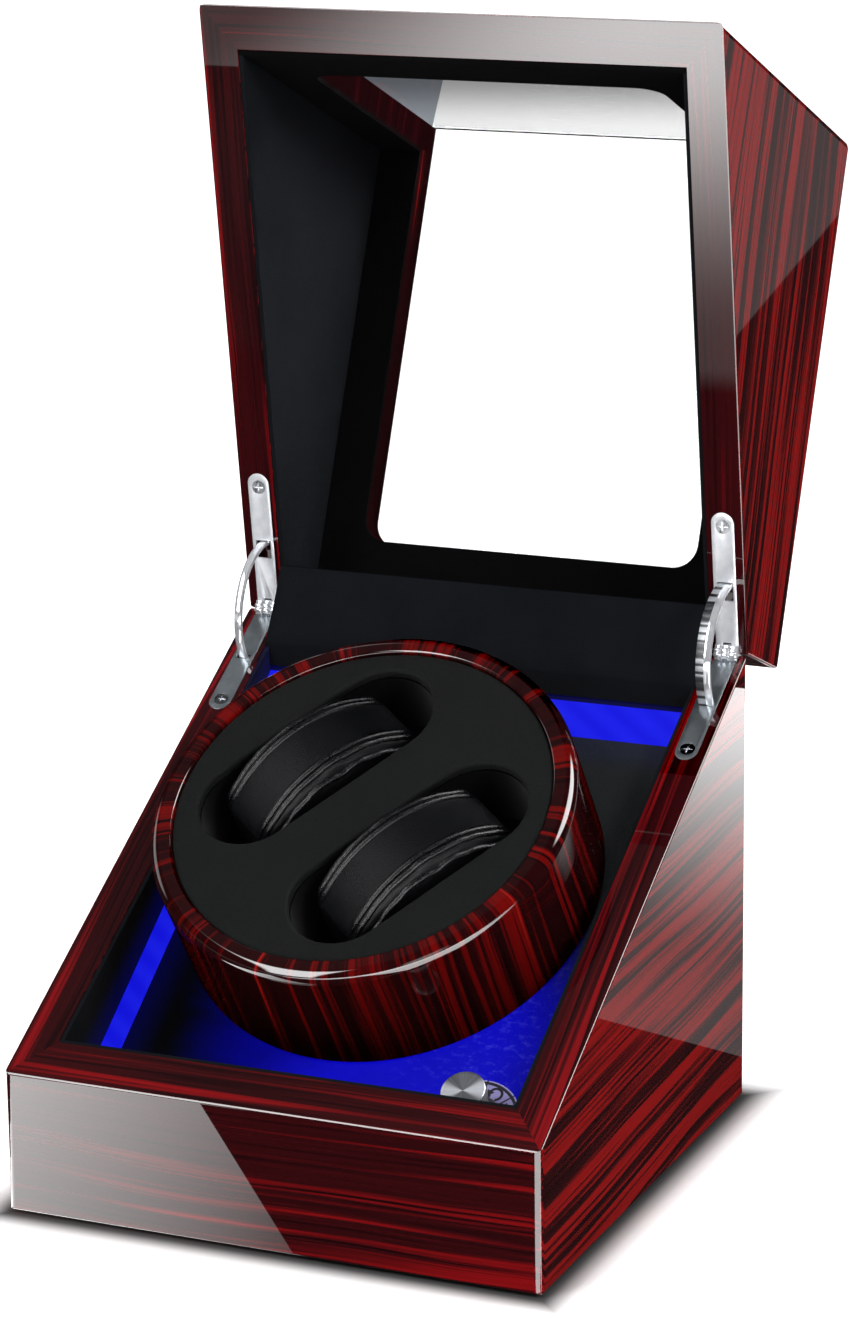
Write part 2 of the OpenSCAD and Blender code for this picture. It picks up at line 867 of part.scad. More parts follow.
module switch_shaft() {
    color("#b8babd") on_deck() translate([knob_x, -knob_y, -deck_t - switch_h + 1.3])
        cylinder(h = knob_h - knob_head + deck_t + switch_h - 1.3, r = switch_shaft_r);
}

module mode_knob() {
    neck = knob_h - knob_head;
    color("#c7c9cc") on_deck() translate([knob_x, -knob_y, 0])
        difference() {
            rotate_extrude()
                polygon([
                    [0, knob_low],
                    [knob_r + 1.1, knob_low],
                    [knob_r + 1.1, knob_low + 0.8],
                    [knob_r - 0.6, neck - 0.7],
                    [knob_r - 1, neck - 0.7],
                    [knob_r - 1, neck],
                    [knob_r, neck],
                    [knob_r, knob_h - 0.4],
                    [knob_r - 0.4, knob_h],
                    [0, knob_h]
                ]);
            translate([0, 0, -1]) cylinder(h = bushing_top + 1.4, r = bushing_r + 0.4);
            cylinder(h = neck + 0.2, r = switch_shaft_r + 0.01);
        }
}

module power_socket() {
    color("#1a1a1c") translate([socket_x, half_d, socket_z]) rotate([90, 0, 0]) {
        difference() {
            union() {
                translate([0, 0, -1.2]) cylinder(h = 1.2, r = socket_flange_r);
                cylinder(h = socket_len, r = socket_r);
            }
            translate([0, 0, -2]) cylinder(h = socket_len, r = socket_bore_r);
        }
        translate([0, 0, -0.6]) cylinder(h = socket_len, r = socket_pin_r);
    }
}

module power_socket_nut() {
    color("#b8babd") translate([socket_x, in_d, socket_z]) rotate([90, 0, 0])
        difference() {
            cylinder(h = socket_nut_t, r = socket_flange_r, $fn = 6);
            translate([0, 0, -1]) cylinder(h = socket_nut_t + 2, r = socket_r + 0.02);
        }
}

// ---- Drum

module drum_ring() {
    top = face_z + ring_lip;
    color("#5a1014") on_deck()
        rotate_extrude($fn = 96)
            difference() {
                translate([ring_r - ledge_w, drum_gap]) square([drum_wall + ledge_w, top - drum_gap]);
                translate([0, face_z - plate_t]) square([ring_r, far]);
                square([ring_r, drum_gap + plate_t]);
                translate([drum_r - drum_edge_r, top - drum_edge_r])
                    difference() {
                        square(drum_edge_r + 1);
                        circle(drum_edge_r);
                    }
                translate([ring_r, top])
                    rotate(45)
                        square(1.4, center = true);
            }
}

module cup_places(side) {
    rotate([0, 0, cup_turn]) translate([0, side * cup_off, 0]) children();
}

module drum_face() {
    color("#24262a") on_deck()
        translate([0, 0, face_z - plate_t])
            linear_extrude(plate_t)
                difference() {
                    circle(ring_r - slack / 2, $fn = 96);
                    for (s = [-1, 1])
                        cup_places(s) slot_shape(cup_len, cup_w);
                }
}

module drum_back_plate() {
    color("#6b5136") on_deck() translate([0, 0, drum_gap])
        difference() {
            cylinder(h = plate_t, r = ring_r - slack / 2);
            translate([0, 0, -1]) cylinder(h = plate_t + 2, r = spindle_r + 0.1);
            hub_screw_places() translate([0, 0, 1]) cylinder(h = plate_t, r = hub_screw_r + 0.05);
        }
}

module hub_screw_places() {
    for (a = [0, 120, 240])
        rotate([0, 0, a + cup_turn]) translate([hub_screw_pcd, 0, 0]) children();
}

module drum_hub() {
    color("#d8d6cf") on_deck() translate([0, 0, drum_gap + plate_t])
        difference() {
            union() {
                cylinder(h = hub_flange_t, r = hub_flange_r);
                cylinder(h = hub_h, r = hub_r);
            }
            translate([0, 0, -1]) cylinder(h = hub_h + 2, r = spindle_r + 0.01);
            hub_screw_places() translate([0, 0, -1]) cylinder(h = hub_flange_t + 2, r = hub_screw_r + 0.1);
        }
}

module hub_screws() {
    color("#b8babd") on_deck()
        hub_screw_places()
            translate([0, 0, drum_gap + plate_t + hub_flange_t])
                mirror([0, 0, 1])
                    pan_screw(hub_screw_r, hub_flange_t + plate_t - 1.2);
}

module spindle() {
    color("#d5d7da") on_deck() {
        translate([0, 0, -shaft_end - 2]) cylinder(h = shaft_end + 2 + drum_gap + plate_t + hub_h - 0.5, r = spindle_r);
        translate([0, 0, -bush_top + 0.1]) cylinder(h = bush_top - 0.1 + drum_gap, r = spindle_r + 1.6);
    }
}

module drive_wheel() {
    color("#e4e2da") on_deck()
        difference() {
            union() {
                translate([0, 0, -belt_z]) belt_wheel(wheel_r);
                translate([0, 0, -belt_z]) cylinder(h = belt_z - tube_end - 0.3, r = 6);
            }
            translate([0, 0, -far]) cylinder(h = far, r = spindle_r + 0.01);
            for (a = [0:60:300])
                rotate([0, 0, a])
                    translate([wheel_r * 0.58, 0, -belt_z])
                        cylinder(h = 2 * wheel_t, r = wheel_r * 0.19, center = true);
        }
}

// A cup hung under the face, with a rim around its mouth
module cup(side) {
    floor_z = face_z - cup_depth - cup_t;
    under_face = face_z - plate_t;
    color("#1c1d20") on_deck() cup_places(side)
        difference() {
            union() {
                translate([0, 0, floor_z])
                    linear_extrude(under_face - floor_z) slot_shape(cup_len + 2 * cup_t, cup_w + 2 * cup_t);
                translate([0, 0, under_face - cup_rim_t])
                    linear_extrude(cup_rim_t) slot_shape(cup_len + 2 * cup_rim, cup_w + 2 * cup_rim);
            }
            translate([0, 0, floor_z + cup_t]) linear_extrude(far) slot_shape(cup_len, cup_w);
        }
}

module cup_left() {
    cup(1);
}

module cup_right() {
    cup(-1);
}

// A watch cushion: a block under an arched top
module cushion(side) {
    low = face_z - cup_depth + cushion_gap;
    top = face_z + cushion_crown;
    color("#151517") on_deck() cup_places(side)
        intersection() {
            translate([0, 0, low])
                linear_extrude(far)
                    round_rect(-cushion_len / 2, cushion_len / 2, -cushion_w / 2, cushion_w / 2, 5);
            translate([0, 0, top - cushion_r])
                rotate([90, 0, 0])
                    cylinder(h = cushion_w + 2, r = cushion_r, center = true, $fn = 96);
        }
}

module cushion_left() {
    cushion(1);
}

module cushion_right() {
    cushion(-1);
}

// ---- Lid, drawn closed and then opened

// The opening in the top panel, grown by some width
module top_window(grow) {
    round_rect(
        -window_w - grow, window_w + grow,
        -far, window_back + grow,
        window_r + grow
    );
}

// The opening in the front panel, as (x, z), grown by some width
module front_window(grow) {
    round_rect(
        -window_w - grow, window_w + grow,
        window_low - grow, far,
        window_r + grow
    );
}

module window_cuts() {
    translate([0, 0, case_h - wall - 20]) linear_extrude(far) top_window(0);
    translate([0, 0, case_h - glass_t]) linear_extrude(far) top_window(glass_step);
    along_y(-half_d - 1, -in_d + 20) front_window(0);
    along_y(-half_d - 1, -half_d + glass_t) front_window(glass_step);
}

module lid_front_panel() {
    color("#4a0d12") lid_opened()
        difference() {
            case_panel(front_plan, lid_profile);
            window_cuts();
        }
}

module lid_rear_panel() {
    color("#4a0d12") lid_opened()
        difference() {
            mirror([0, 1, 0]) case_panel(front_plan, [for (p = lid_profile) [-p[0], p[1]]]);
            lid_hinge_cuts();
        }
}

module lid_top_panel() {
    color("#4a0d12") lid_opened()
        difference() {
            block([-in_w, -in_d, case_h - wall], [in_w, in_d, case_h]);
            window_cuts();
        }
}

module lid_side(side) {
    color("#4a0d12") lid_opened()
        difference() {
            case_panel([for (p = side_plan) [side * p[0], p[1]]], lid_profile);
            lid_hinge_cuts();
        }
}

module lid_left_side() {
    lid_side(-1);
}

module lid_right_side() {
    lid_side(1);
}

// The space over the lid's rim and under its top panel
module lid_liner_space(top) {
    along_x(-half_w, half_w)
        polygon([
            [-half_d, front_h + rim_rise + liner_inset],
            [half_d, back_h + rim_rise + liner_inset],
            [half_d, top],
            [-half_d, top]
        ]);
}

module lid_liner_front() {
    color("#1b1c20") lid_opened()
        difference() {
            intersection() {
                lid_liner_space(case_h - wall);
                block([-in_w, -in_d, 0], [in_w, -liner_d, far]);
            }
            window_cuts();
        }
}

module lid_liner_rear() {
    color("#1b1c20") lid_opened()
        intersection() {
            lid_liner_space(case_h - wall);
            block([-in_w, liner_d, 0], [in_w, in_d, far]);
        }
}

module lid_liner_side() {
    color("#1b1c20") lid_opened()
        intersection() {
            lid_liner_space(case_h - wall);
            block([liner_w, -liner_d + 0.1, 0], [in_w, liner_d - 0.1, far]);
        }
}

module lid_liner_left() {
    mirror([1, 0, 0]) lid_liner_side();
}

module lid_liner_right() {
    lid_liner_side();
}

module lid_liner_top() {
    top = case_h - wall;
    color("#1b1c20") lid_opened()
        difference() {
            block([-liner_w + 0.1, -liner_d + 0.1, top - liner_t], [liner_w - 0.1, liner_d - 0.1, top]);
            window_cuts();
        }
}

module top_glass() {
    color([0.8, 0.85, 0.88, 0.35]) lid_opened()
        intersection() {
            translate([0, 0, case_h - glass_t]) linear_extrude(glass_t) top_window(glass_step - slack);
            block([-half_w, -half_d, 0], [half_w, half_d, far]);
        }
}

module front_glass() {
    color([0.8, 0.85, 0.88, 0.35]) lid_opened()
        intersection() {
            along_y(-half_d, -half_d + glass_t) front_window(glass_step - slack);
            block([-half_w, -half_d, 0], [half_w, half_d, case_h - glass_t - 0.1]);
        }
}

// ---- Hinges: a leaf on each rim, a pin, and a curved stay that slides into the lid

// A leaf lying under Z = 0, with its screw hole
module leaf_plate() {
    difference() {
        translate([0, 0, -leaf_t])
            linear_extrude(leaf_t) {
                translate([-leaf_w / 2, -leaf_len + leaf_w / 2])
                    square([leaf_w, leaf_len - leaf_w / 2 - knuckle_r - 0.5]);
                translate([0, -leaf_len + leaf_w / 2]) circle(leaf_w / 2);
            }
        translate([0, -leaf_screw_y, -screw_head_r + screw_r])
            cylinder(h = screw_head_r - screw_r + 0.001, r1 = screw_r + 0.05, r2 = screw_head_r + 0.05);
        translate([0, -leaf_screw_y, -leaf_t - 1]) cylinder(h = leaf_t + 2, r = screw_r + 0.05);
    }
}

// One barrel of the knuckle between two places along the pin, joined to its leaf under the pin
module knuckle(x0, x1, bore) {
    difference() {
        union() {
            translate([x0, 0, 0]) rotate([0, 90, 0]) cylinder(h = x1 - x0, r = knuckle_r);
            block([x0, -knuckle_r - 1, -leaf_top], [x1, 0, -lid_gap / 2]);
        }
        translate([x0 - 1, 0, 0]) rotate([0, 90, 0]) cylinder(h = x1 - x0 + 2, r = bore);
    }
}

module hinge_base_leaves() {
    color("#d9dcdf")
        for (s = [-1, 1])
            at_hinge(s) {
                difference() {
                    translate([0, 0, -lid_gap / 2]) leaf_plate();
                    block(
                        [-stay_w / 2 - 0.1, -stay_r - stay_t / 2 - 0.2, -far],
                        [stay_w / 2 + 0.1, -stay_r + stay_t / 2 + 0.2, far]
                    );
                }
                knuckle(-leaf_split, leaf_split, pin_r + 0.01);
            }
}

module hinge_lid_leaves() {
    color("#d9dcdf") lid_opened()
        for (s = [-1, 1])
            at_hinge(s)
                mirror([0, 0, 1]) {
                    difference() {
                        translate([0, 0, -lid_gap / 2]) leaf_plate();
                        block([-slot_w / 2, -slot_front, -far], [slot_w / 2, -slot_back, far]);
                    }
                    knuckle(leaf_split + knuckle_gap, leaf_w / 2, pin_r + run_gap);
                    knuckle(-leaf_w / 2, -leaf_split - knuckle_gap, pin_r + run_gap);
                }
}

module hinge_pins() {
    color("#c4c7cb")
        for (s = [-1, 1])
            at_hinge(s)
                translate([-leaf_w / 2, 0, 0])
                    rotate([0, 90, 0])
                        cylinder(h = leaf_w, r = pin_r);
}

module hinge_stays() {
    foot_angle = asin((leaf_top + stay_foot_t) / stay_r);
    color("#d9dcdf")
        for (s = [-1, 1])
            at_hinge(s) {
                hinge_arc(stay_r - stay_t / 2, stay_r + stay_t / 2, stay_w, -foot_angle + 0.5, stay_end);
                hinge_arc(stay_r - stay_t / 2, stay_r + stay_t / 2, stay_foot_w, stay_tip, stay_end);
                translate([0, -stay_r, -leaf_top - stay_foot_t / 2])
                    cube([stay_foot_w, stay_foot_len, stay_foot_t], center = true);
            }
}

module hinge_base_screws() {
    color("#b8babd")
        for (s = [-1, 1])
            at_hinge(s)
                translate([0, -leaf_screw_y, -lid_gap / 2])
                    wood_screw(screw_head_r, screw_r, screw_len - 0.5);
}

module hinge_lid_screws() {
    color("#b8babd") lid_opened()
        for (s = [-1, 1])
            at_hinge(s)
                mirror([0, 0, 1])
                    translate([0, -leaf_screw_y, -lid_gap / 2])
                        wood_screw(screw_head_r, screw_r, screw_len - 0.5);
}

base_front_panel();
base_rear_panel();
base_left_side();
base_right_side();
bottom_cover();
felt_pad();
cover_screws();
base_liner_front();
base_liner_rear();
base_liner_left();
base_liner_right();
deck_panel();
deck_rails();
light_strip_left();
light_strip_rear();
led_boards();
bearing_tube();
spindle_bushes();
mechanism_screws();
motor_bracket();
motor();
motor_shaft();
motor_pulley();
drive_belt();
control_board();
mode_switch();
dial_plate();
switch_shaft();
mode_knob();
power_socket();
power_socket_nut();
drum_ring();
drum_face();
drum_back_plate();
drum_hub();
hub_screws();
spindle();
drive_wheel();
cup_left();
cup_right();
cushion_left();
cushion_right();
lid_front_panel();
lid_top_panel();
lid_rear_panel();
lid_left_side();
lid_right_side();
lid_liner_front();
lid_liner_top();
lid_liner_rear();
lid_liner_left();
lid_liner_right();
front_glass();
top_glass();
hinge_base_leaves();
hinge_lid_leaves();
hinge_pins();
hinge_stays();
hinge_base_screws();
hinge_lid_screws();
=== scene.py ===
"""Double watch winder box: lacquered case and glazed lid, tilted wooden drum with two cushioned cups.

The pieces sit in the frame's own place, in metres: +X is the case's right, -Y its front, +Z up.
"""
from math import atan2, cos, degrees, hypot, pi, radians, sin

import bmesh
import bpy
from mathutils import Matrix, Vector
from mathutils.bvhtree import BVHTree


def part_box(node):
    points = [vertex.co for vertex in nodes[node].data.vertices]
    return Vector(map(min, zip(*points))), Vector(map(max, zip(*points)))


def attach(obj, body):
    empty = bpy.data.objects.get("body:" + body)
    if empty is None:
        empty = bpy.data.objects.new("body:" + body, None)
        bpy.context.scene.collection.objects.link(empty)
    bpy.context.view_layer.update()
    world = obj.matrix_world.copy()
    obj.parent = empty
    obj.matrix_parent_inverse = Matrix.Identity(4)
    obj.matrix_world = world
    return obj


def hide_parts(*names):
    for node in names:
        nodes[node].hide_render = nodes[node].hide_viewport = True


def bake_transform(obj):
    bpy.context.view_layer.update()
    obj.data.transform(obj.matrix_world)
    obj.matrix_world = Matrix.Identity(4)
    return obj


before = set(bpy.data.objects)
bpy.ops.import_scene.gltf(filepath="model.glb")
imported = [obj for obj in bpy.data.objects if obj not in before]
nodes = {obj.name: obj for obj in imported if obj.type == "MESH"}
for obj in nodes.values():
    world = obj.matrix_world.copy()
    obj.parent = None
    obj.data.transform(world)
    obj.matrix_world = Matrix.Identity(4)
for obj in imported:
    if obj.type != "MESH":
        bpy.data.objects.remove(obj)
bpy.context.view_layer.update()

mm = 0.001

# ---------------------------------------------------------------- places shared with the frame
half_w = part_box("base_right_side")[1].x
half_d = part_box("base_rear_panel")[1].y
wall = 13 * mm
rim_slope = radians(30.36)
hinge_y, hinge_z = half_d, 157.191 * mm
lid_open = radians(112.8)
deck_slope = radians(35)
deck_point = Vector((0, 8.148 * mm, 90.028 * mm))
deck = Matrix.Translation(deck_point) @ Matrix.Rotation(deck_slope, 4, "X")
case_top = 191.96 * mm
knob_x, knob_y = 57 * mm, -84 * mm
hinge_x, knuckle_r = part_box("hinge_pins")[1].x - 4 * mm, 3 * mm
face_z = 44.8 * mm
swing_open = (Matrix.Translation((0, hinge_y, hinge_z)) @ Matrix.Rotation(-lid_open, 4, "X")
              @ Matrix.Translation((0, -hinge_y, -hinge_z)))  # from the closed lid to the open one


# ---------------------------------------------------------------- camera
def set_camera():
    """A long lens, above and to the right of the front."""
    turn, tip, roll = radians(23.677), radians(15.034), radians(-0.704)
    data = bpy.data.cameras.new("camera")
    data.lens, data.sensor_width, data.sensor_fit = 113.86, 36, "AUTO"
    data.clip_start, data.clip_end = 0.05, 50
    camera = bpy.data.objects.new("camera", data)
    bpy.context.scene.collection.objects.link(camera)
    camera.matrix_world = (Matrix.Translation((0.53569, -1.18373, 0.51897)) @ Matrix.Rotation(turn, 4, "Z")
                           @ Matrix.Rotation(pi / 2 - tip, 4, "X") @ Matrix.Rotation(roll, 4, "Z"))
    bpy.context.scene.camera = camera


set_camera()


# ---------------------------------------------------------------- shader words
def tone(red, green, blue):
    """A colour from its screen values, 0 to 255, as the light values that shaders use."""
    def light(c):
        c = c / 255
        return c / 12.92 if c <= 0.04045 else ((c + 0.055) / 1.055) ** 2.4
    return (light(red), light(green), light(blue), 1)


finishes = {}


class Shade:
    """A shader socket. Sums, products and comparisons of shades add the Math nodes that work them out."""

    def __init__(self, finish, socket):
        self.finish, self.socket = finish, socket

    def __add__(self, other):
        return self.finish.math("ADD", self, other)

    def __radd__(self, other):
        return self.finish.math("ADD", other, self)

    def __sub__(self, other):
        return self.finish.math("SUBTRACT", self, other)

    def __rsub__(self, other):
        return self.finish.math("SUBTRACT", other, self)

    def __mul__(self, other):
        return self.finish.math("MULTIPLY", self, other)

    def __rmul__(self, other):
        return self.finish.math("MULTIPLY", other, self)

    def __truediv__(self, other):
        return self.finish.math("DIVIDE", self, other)

    def __rtruediv__(self, other):
        return self.finish.math("DIVIDE", other, self)

    def __pow__(self, other):
        return self.finish.math("POWER", self, other)

    def __abs__(self):
        return self.finish.math("ABSOLUTE", self)

    def __gt__(self, other):
        return self.finish.math("GREATER_THAN", self, other)

    def __lt__(self, other):
        return self.finish.math("LESS_THAN", self, other)


class Finish:
    """One material, or the world, and the nodes in it."""

    def __init__(self, name, owner=None):
        self.name = name
        self.material = owner or bpy.data.materials.new(name)
        self.material.use_nodes = True
        self.tree = self.material.node_tree
        self.tree.nodes.clear()

    def node(self, kind, settings=None, inputs=None, out=0):
        """Adds one node of a kind: its settings first, then the values or links of its sockets."""
        made = self.tree.nodes.new(kind)
        for key, value in (settings or {}).items():
            setattr(made, key, value)
        for key, value in (inputs or {}).items():
            if isinstance(value, Shade):
                self.tree.links.new(value.socket, made.inputs[key])
            else:
                made.inputs[key].default_value = value
        return Shade(self, made.outputs[out]) if made.outputs else None

    def math(self, operation, first, second=0.0):
        return self.node("ShaderNodeMath", {"operation": operation}, {0: first, 1: second})

    def wave(self, angle):
        """0 to 1 and back, once in each turn of the angle."""
        return self.math("SINE", angle) * 0.5 + 0.5

    def length(self, x, y):
        return self.math("SQRT", x * x + y * y)

    def place(self):
        """Where a point lies in the frame at rest."""
        return self.node("ShaderNodeTexCoord", out="Object")

    def on_deck(self):
        """Where a point lies by the deck: to the right, up its slope, and above it."""
        x, y, z = self.split(self.place())
        behind, over = y - deck_point.y, z - deck_point.z
        return (x, behind * cos(deck_slope) + over * sin(deck_slope),
                over * cos(deck_slope) - behind * sin(deck_slope))

    def by_knob(self):
        """Where a point lies by the knob's axis: to the right and up the deck's slope."""
        x, back, _ = self.on_deck()
        return x - knob_x, back - knob_y

    def grain(self):
        """Length along the grain, length across it, and the board's own number."""
        return self.split(self.node("ShaderNodeAttribute", {"attribute_name": "grain"}, out="Vector"))

    def rays(self):
        """Which rays look: the eye's, those from a polished face, and those through glass."""
        kinds = self.node("ShaderNodeLightPath").socket.node.outputs
        return [Shade(self, kinds[f"Is {kind} Ray"]) for kind in ("Camera", "Glossy", "Transmission")]

    def split(self, vector):
        whole = self.node("ShaderNodeSeparateXYZ", inputs={0: vector}).socket.node
        return [Shade(self, whole.outputs[i]) for i in range(3)]

    def join(self, x, y, z=0.0):
        return self.node("ShaderNodeCombineXYZ", inputs={0: x, 1: y, 2: z})

    def noise(self, vector, scale=1.0, detail=2.0, rough=0.5, warp=0.0, out=0):
        return self.node("ShaderNodeTexNoise", inputs={"Vector": vector, "Scale": scale, "Detail": detail,
                                                       "Roughness": rough, "Distortion": warp}, out=out)

    def cells(self, vector, scale, feature="F1", random=1.0):
        return self.node("ShaderNodeTexVoronoi", {"feature": feature},
                         {"Vector": vector, "Scale": scale, "Randomness": random}, "Distance")

    def rise(self, value, low, high):
        """0 under low, 1 over high, and a smooth rise between them; with low over high it falls."""
        return self.node("ShaderNodeMapRange", {"interpolation_type": "SMOOTHSTEP"},
                         {0: value, 1: low, 2: high, 3: 0.0, 4: 1.0})

    def within(self, value, low, high):
        """1 between low and high, and 0 outside."""
        return (value > low) * (value < high)

    def mix(self, factor, first, second):
        return self.node("ShaderNodeMix", {"data_type": "RGBA"}, {0: factor, 6: first, 7: second}, 2)

    def times(self, colour, amount):
        colour = colour if isinstance(colour, Shade) else colour[:3]
        return self.node("ShaderNodeVectorMath", {"operation": "SCALE"}, {0: colour, "Scale": amount})

    def relief(self, height, depth, strength=1.0):
        """A bump of a real depth."""
        return self.node("ShaderNodeBump", inputs={"Height": height, "Distance": depth, "Strength": strength})

    def surface(self, **sockets):
        """The finish itself, kept in finishes by its name; a socket's name is written with _ for a space."""
        shader = self.node("ShaderNodeBsdfPrincipled",
                           inputs={key.replace("_", " "): value for key, value in sockets.items()})
        self.node("ShaderNodeOutputMaterial", inputs={"Surface": shader})
        finishes[self.name] = self.material
        return self.material


# ---------------------------------------------------------------- studio
def floor_cards(f, x, y):
    """How bright a spot of the floor is to a polished face: pale cards round the box, black between them."""
    card_black, card_white = 0.02, 14.0
    left_reach = (x - 0.010) * -0.778 + (y + 0.093) * 0.628
    left_light = 1.0 + 92 * left_reach - 38 * (y + 0.093)
    left_card = (left_reach > 0) * left_light * f.within(y, -0.30, -0.08) * (x > -0.165)

    # a black flag stands on the left part of the front card
    shown = 1 - (x - y * 0.383 < -0.029) * (y > -0.765) * 0.96
    near_light = f.rise(y, -0.40, -0.43) * 0.8
    far_light = 13 * f.rise(y, -0.42, -0.86) ** 1.4 * f.rise(x, -0.56, -0.29)
    front_card = near_light * shown + far_light * shown

    side_edges = (y > 0.130 + 0.30 * (x - 0.110)) * (y < 0.590) * (x > 0.0) * (x - y * 0.34 < 0.121)
    side_card = side_edges * (0.28 + 4.4 * f.rise(y, 0.22, 0.64))

    far_card = (x - y * 0.187 > 0.2986) * (y > 1.2) * 0.22

    # in front of the right front corner
    corner_right = f.rise(x, half_w, half_w + 0.3 * mm) * f.rise(x, 1.2, 1.0)
    corner_front = f.rise(y, -half_d - 0.2 * mm, -half_d - 0.6 * mm) * f.rise(y, -0.9, -0.8)
    corner_card = corner_right * corner_front * 9.5

    cards = left_card + front_card + side_card + far_card + corner_card + card_black
    return f.math("MINIMUM", cards, card_white)


def pale_floor():
    """White to the eye, with the box's shadow painted darker at its foot. Mirrors see its cards, and the
    panes its far part, painted grey.
    """
    f = Finish("pale_floor")
    x, y, _ = f.split(f.node("ShaderNodeNewGeometry", out="Position"))
    seen, mirrored, through = f.rays()
    beside = f.math("MAXIMUM", abs(x) - half_w, abs(y) - half_d)
    open_floor = f.rise(beside, 0.005, 0.019)
    past_painted_shadow = f.rise(beside, 0.0, 0.009)

    # through the panes the floor is painted grey far back, with a bluish grey patch at the left: painted
    # reflection seen in the panes
    behind_box = y > 0.72
    far = y - x * 0.27
    flag = (x + y * 0.397 < -0.069) * (far > 2.50)
    pane_light = (1.15 - f.rise(far, 2.53, 2.95) * 0.82) * (1 - flag * 0.66)

    glow = floor_cards(f, x, y) * mirrored + open_floor * 0.95 * seen + through * behind_box * pane_light
    white = f.times(f.mix(flag * through, (1.0, 1.0, 1.0, 1), (0.90, 0.98, 1.10, 1)), glow)
    # painted shadow: the floor's colour turns near black within 9 mm of the box's foot
    floor_with_painted_shadow = f.mix(seen * (1 - past_painted_shadow), (0.95, 0.95, 0.95, 1), (0.08, 0.08, 0.08, 1))
    return f.surface(Base_Color=f.mix(mirrored, floor_with_painted_shadow, (0, 0, 0, 1)), Roughness=1.0,
                     Specular_IOR_Level=0.0, Emission_Color=white, Emission_Strength=1.0)


def set_floor():
    """One large square, apart from the object."""
    reach = 6
    mesh = bpy.data.meshes.new("floor")
    corners = [(-reach, -reach, 0), (reach, -reach, 0), (reach, reach, 0), (-reach, reach, 0)]
    mesh.from_pydata(corners, [], [(0, 1, 2, 3)])
    mesh.materials.append(pale_floor())
    floor = bpy.data.objects.new("floor", mesh)
    bpy.context.scene.collection.objects.link(floor)


def set_world():
    """White to the eye. Polished faces see a dark room with lit boxes in it, and the panes a white one."""
    world = bpy.data.worlds.new("studio")
    bpy.context.scene.world = world
    f = Finish("studio", world)
    seen, mirrored, through = f.rays()
    way = f.node("ShaderNodeTexCoord", out="Generated")
    way_x, way_y, way_z = f.split(way)

    def softbox(direction, size, level, soft=3):
        """A round box: size is its half angle and soft its edge's, in degrees."""
        toward = tuple(Vector(direction).normalized())
        facing = f.node("ShaderNodeVectorMath", {"operation": "DOT_PRODUCT"}, {0: way, 1: toward}, "Value")
        return f.rise(facing, cos(radians(size + soft)), cos(radians(size - soft))) * level

    def strip_box(side, spread, low, high, level):
        """A tall narrow box in front: side is how far it stands to the right, low and high its heights."""
        edge = 0.08
        return (f.rise(abs(way_x - side), spread, spread * 0.7) * f.rise(way_z, low, low + edge)
                * f.rise(way_z, high, high - edge) * (way_y < 0.1) * level)

    boxes = strip_box(side=-0.39, spread=0.16, low=0.06, high=0.85, level=16.0)
    over_right_rear = softbox((0.60, 0.34, 0.72), 17, 16.0)
    low_in_front = softbox((0.45, -0.85, 0.2), 8, 3.0)
    low_at_left = softbox((-0.95, 0.1, 0.3), 12, 2.0)
    faint_over_left = softbox((-0.41, 0.09, 0.91), 16, 0.07, soft=12)
    boxes = boxes + over_right_rear + low_in_front + low_at_left + faint_over_left

    room, lamplight, pane_white = 0.008, 0.38, 1.15
    level = ((1 - (seen + mirrored + through)) * lamplight + seen + through * (way_z < 0.02) * pane_white
             + mirrored * (boxes + room))
    sky = f.node("ShaderNodeBackground", inputs={"Color": f.times((1.0, 1.0, 1.0), level), "Strength": 1.0})
    f.node("ShaderNodeOutputWorld", inputs={"Surface": sky})


def set_lamps():
    """Three soft lamps. Mirrors and the camera don't see them."""
    aim = Vector((0, 0, 0.12))
    for name, place, size, power in (("key_light", (-0.62, -1.05, 1.15), 0.45, 7),
                                     ("top_light", (0.15, -0.25, 1.6), 0.9, 6),
                                     ("right_light", (1.2, -0.5, 0.9), 0.5, 9)):
        data = bpy.data.lights.new(name, "AREA")
        data.size, data.energy = size, power
        lamp = bpy.data.objects.new(name, data)
        lamp.location = place
        lamp.rotation_euler = (Vector(place) - aim).to_track_quat("Z", "Y").to_euler()
        lamp.visible_glossy = lamp.visible_camera = False
        bpy.context.scene.collection.objects.link(lamp)


set_floor()
set_world()
set_lamps()
bpy.context.scene.view_settings.view_transform = "Standard"


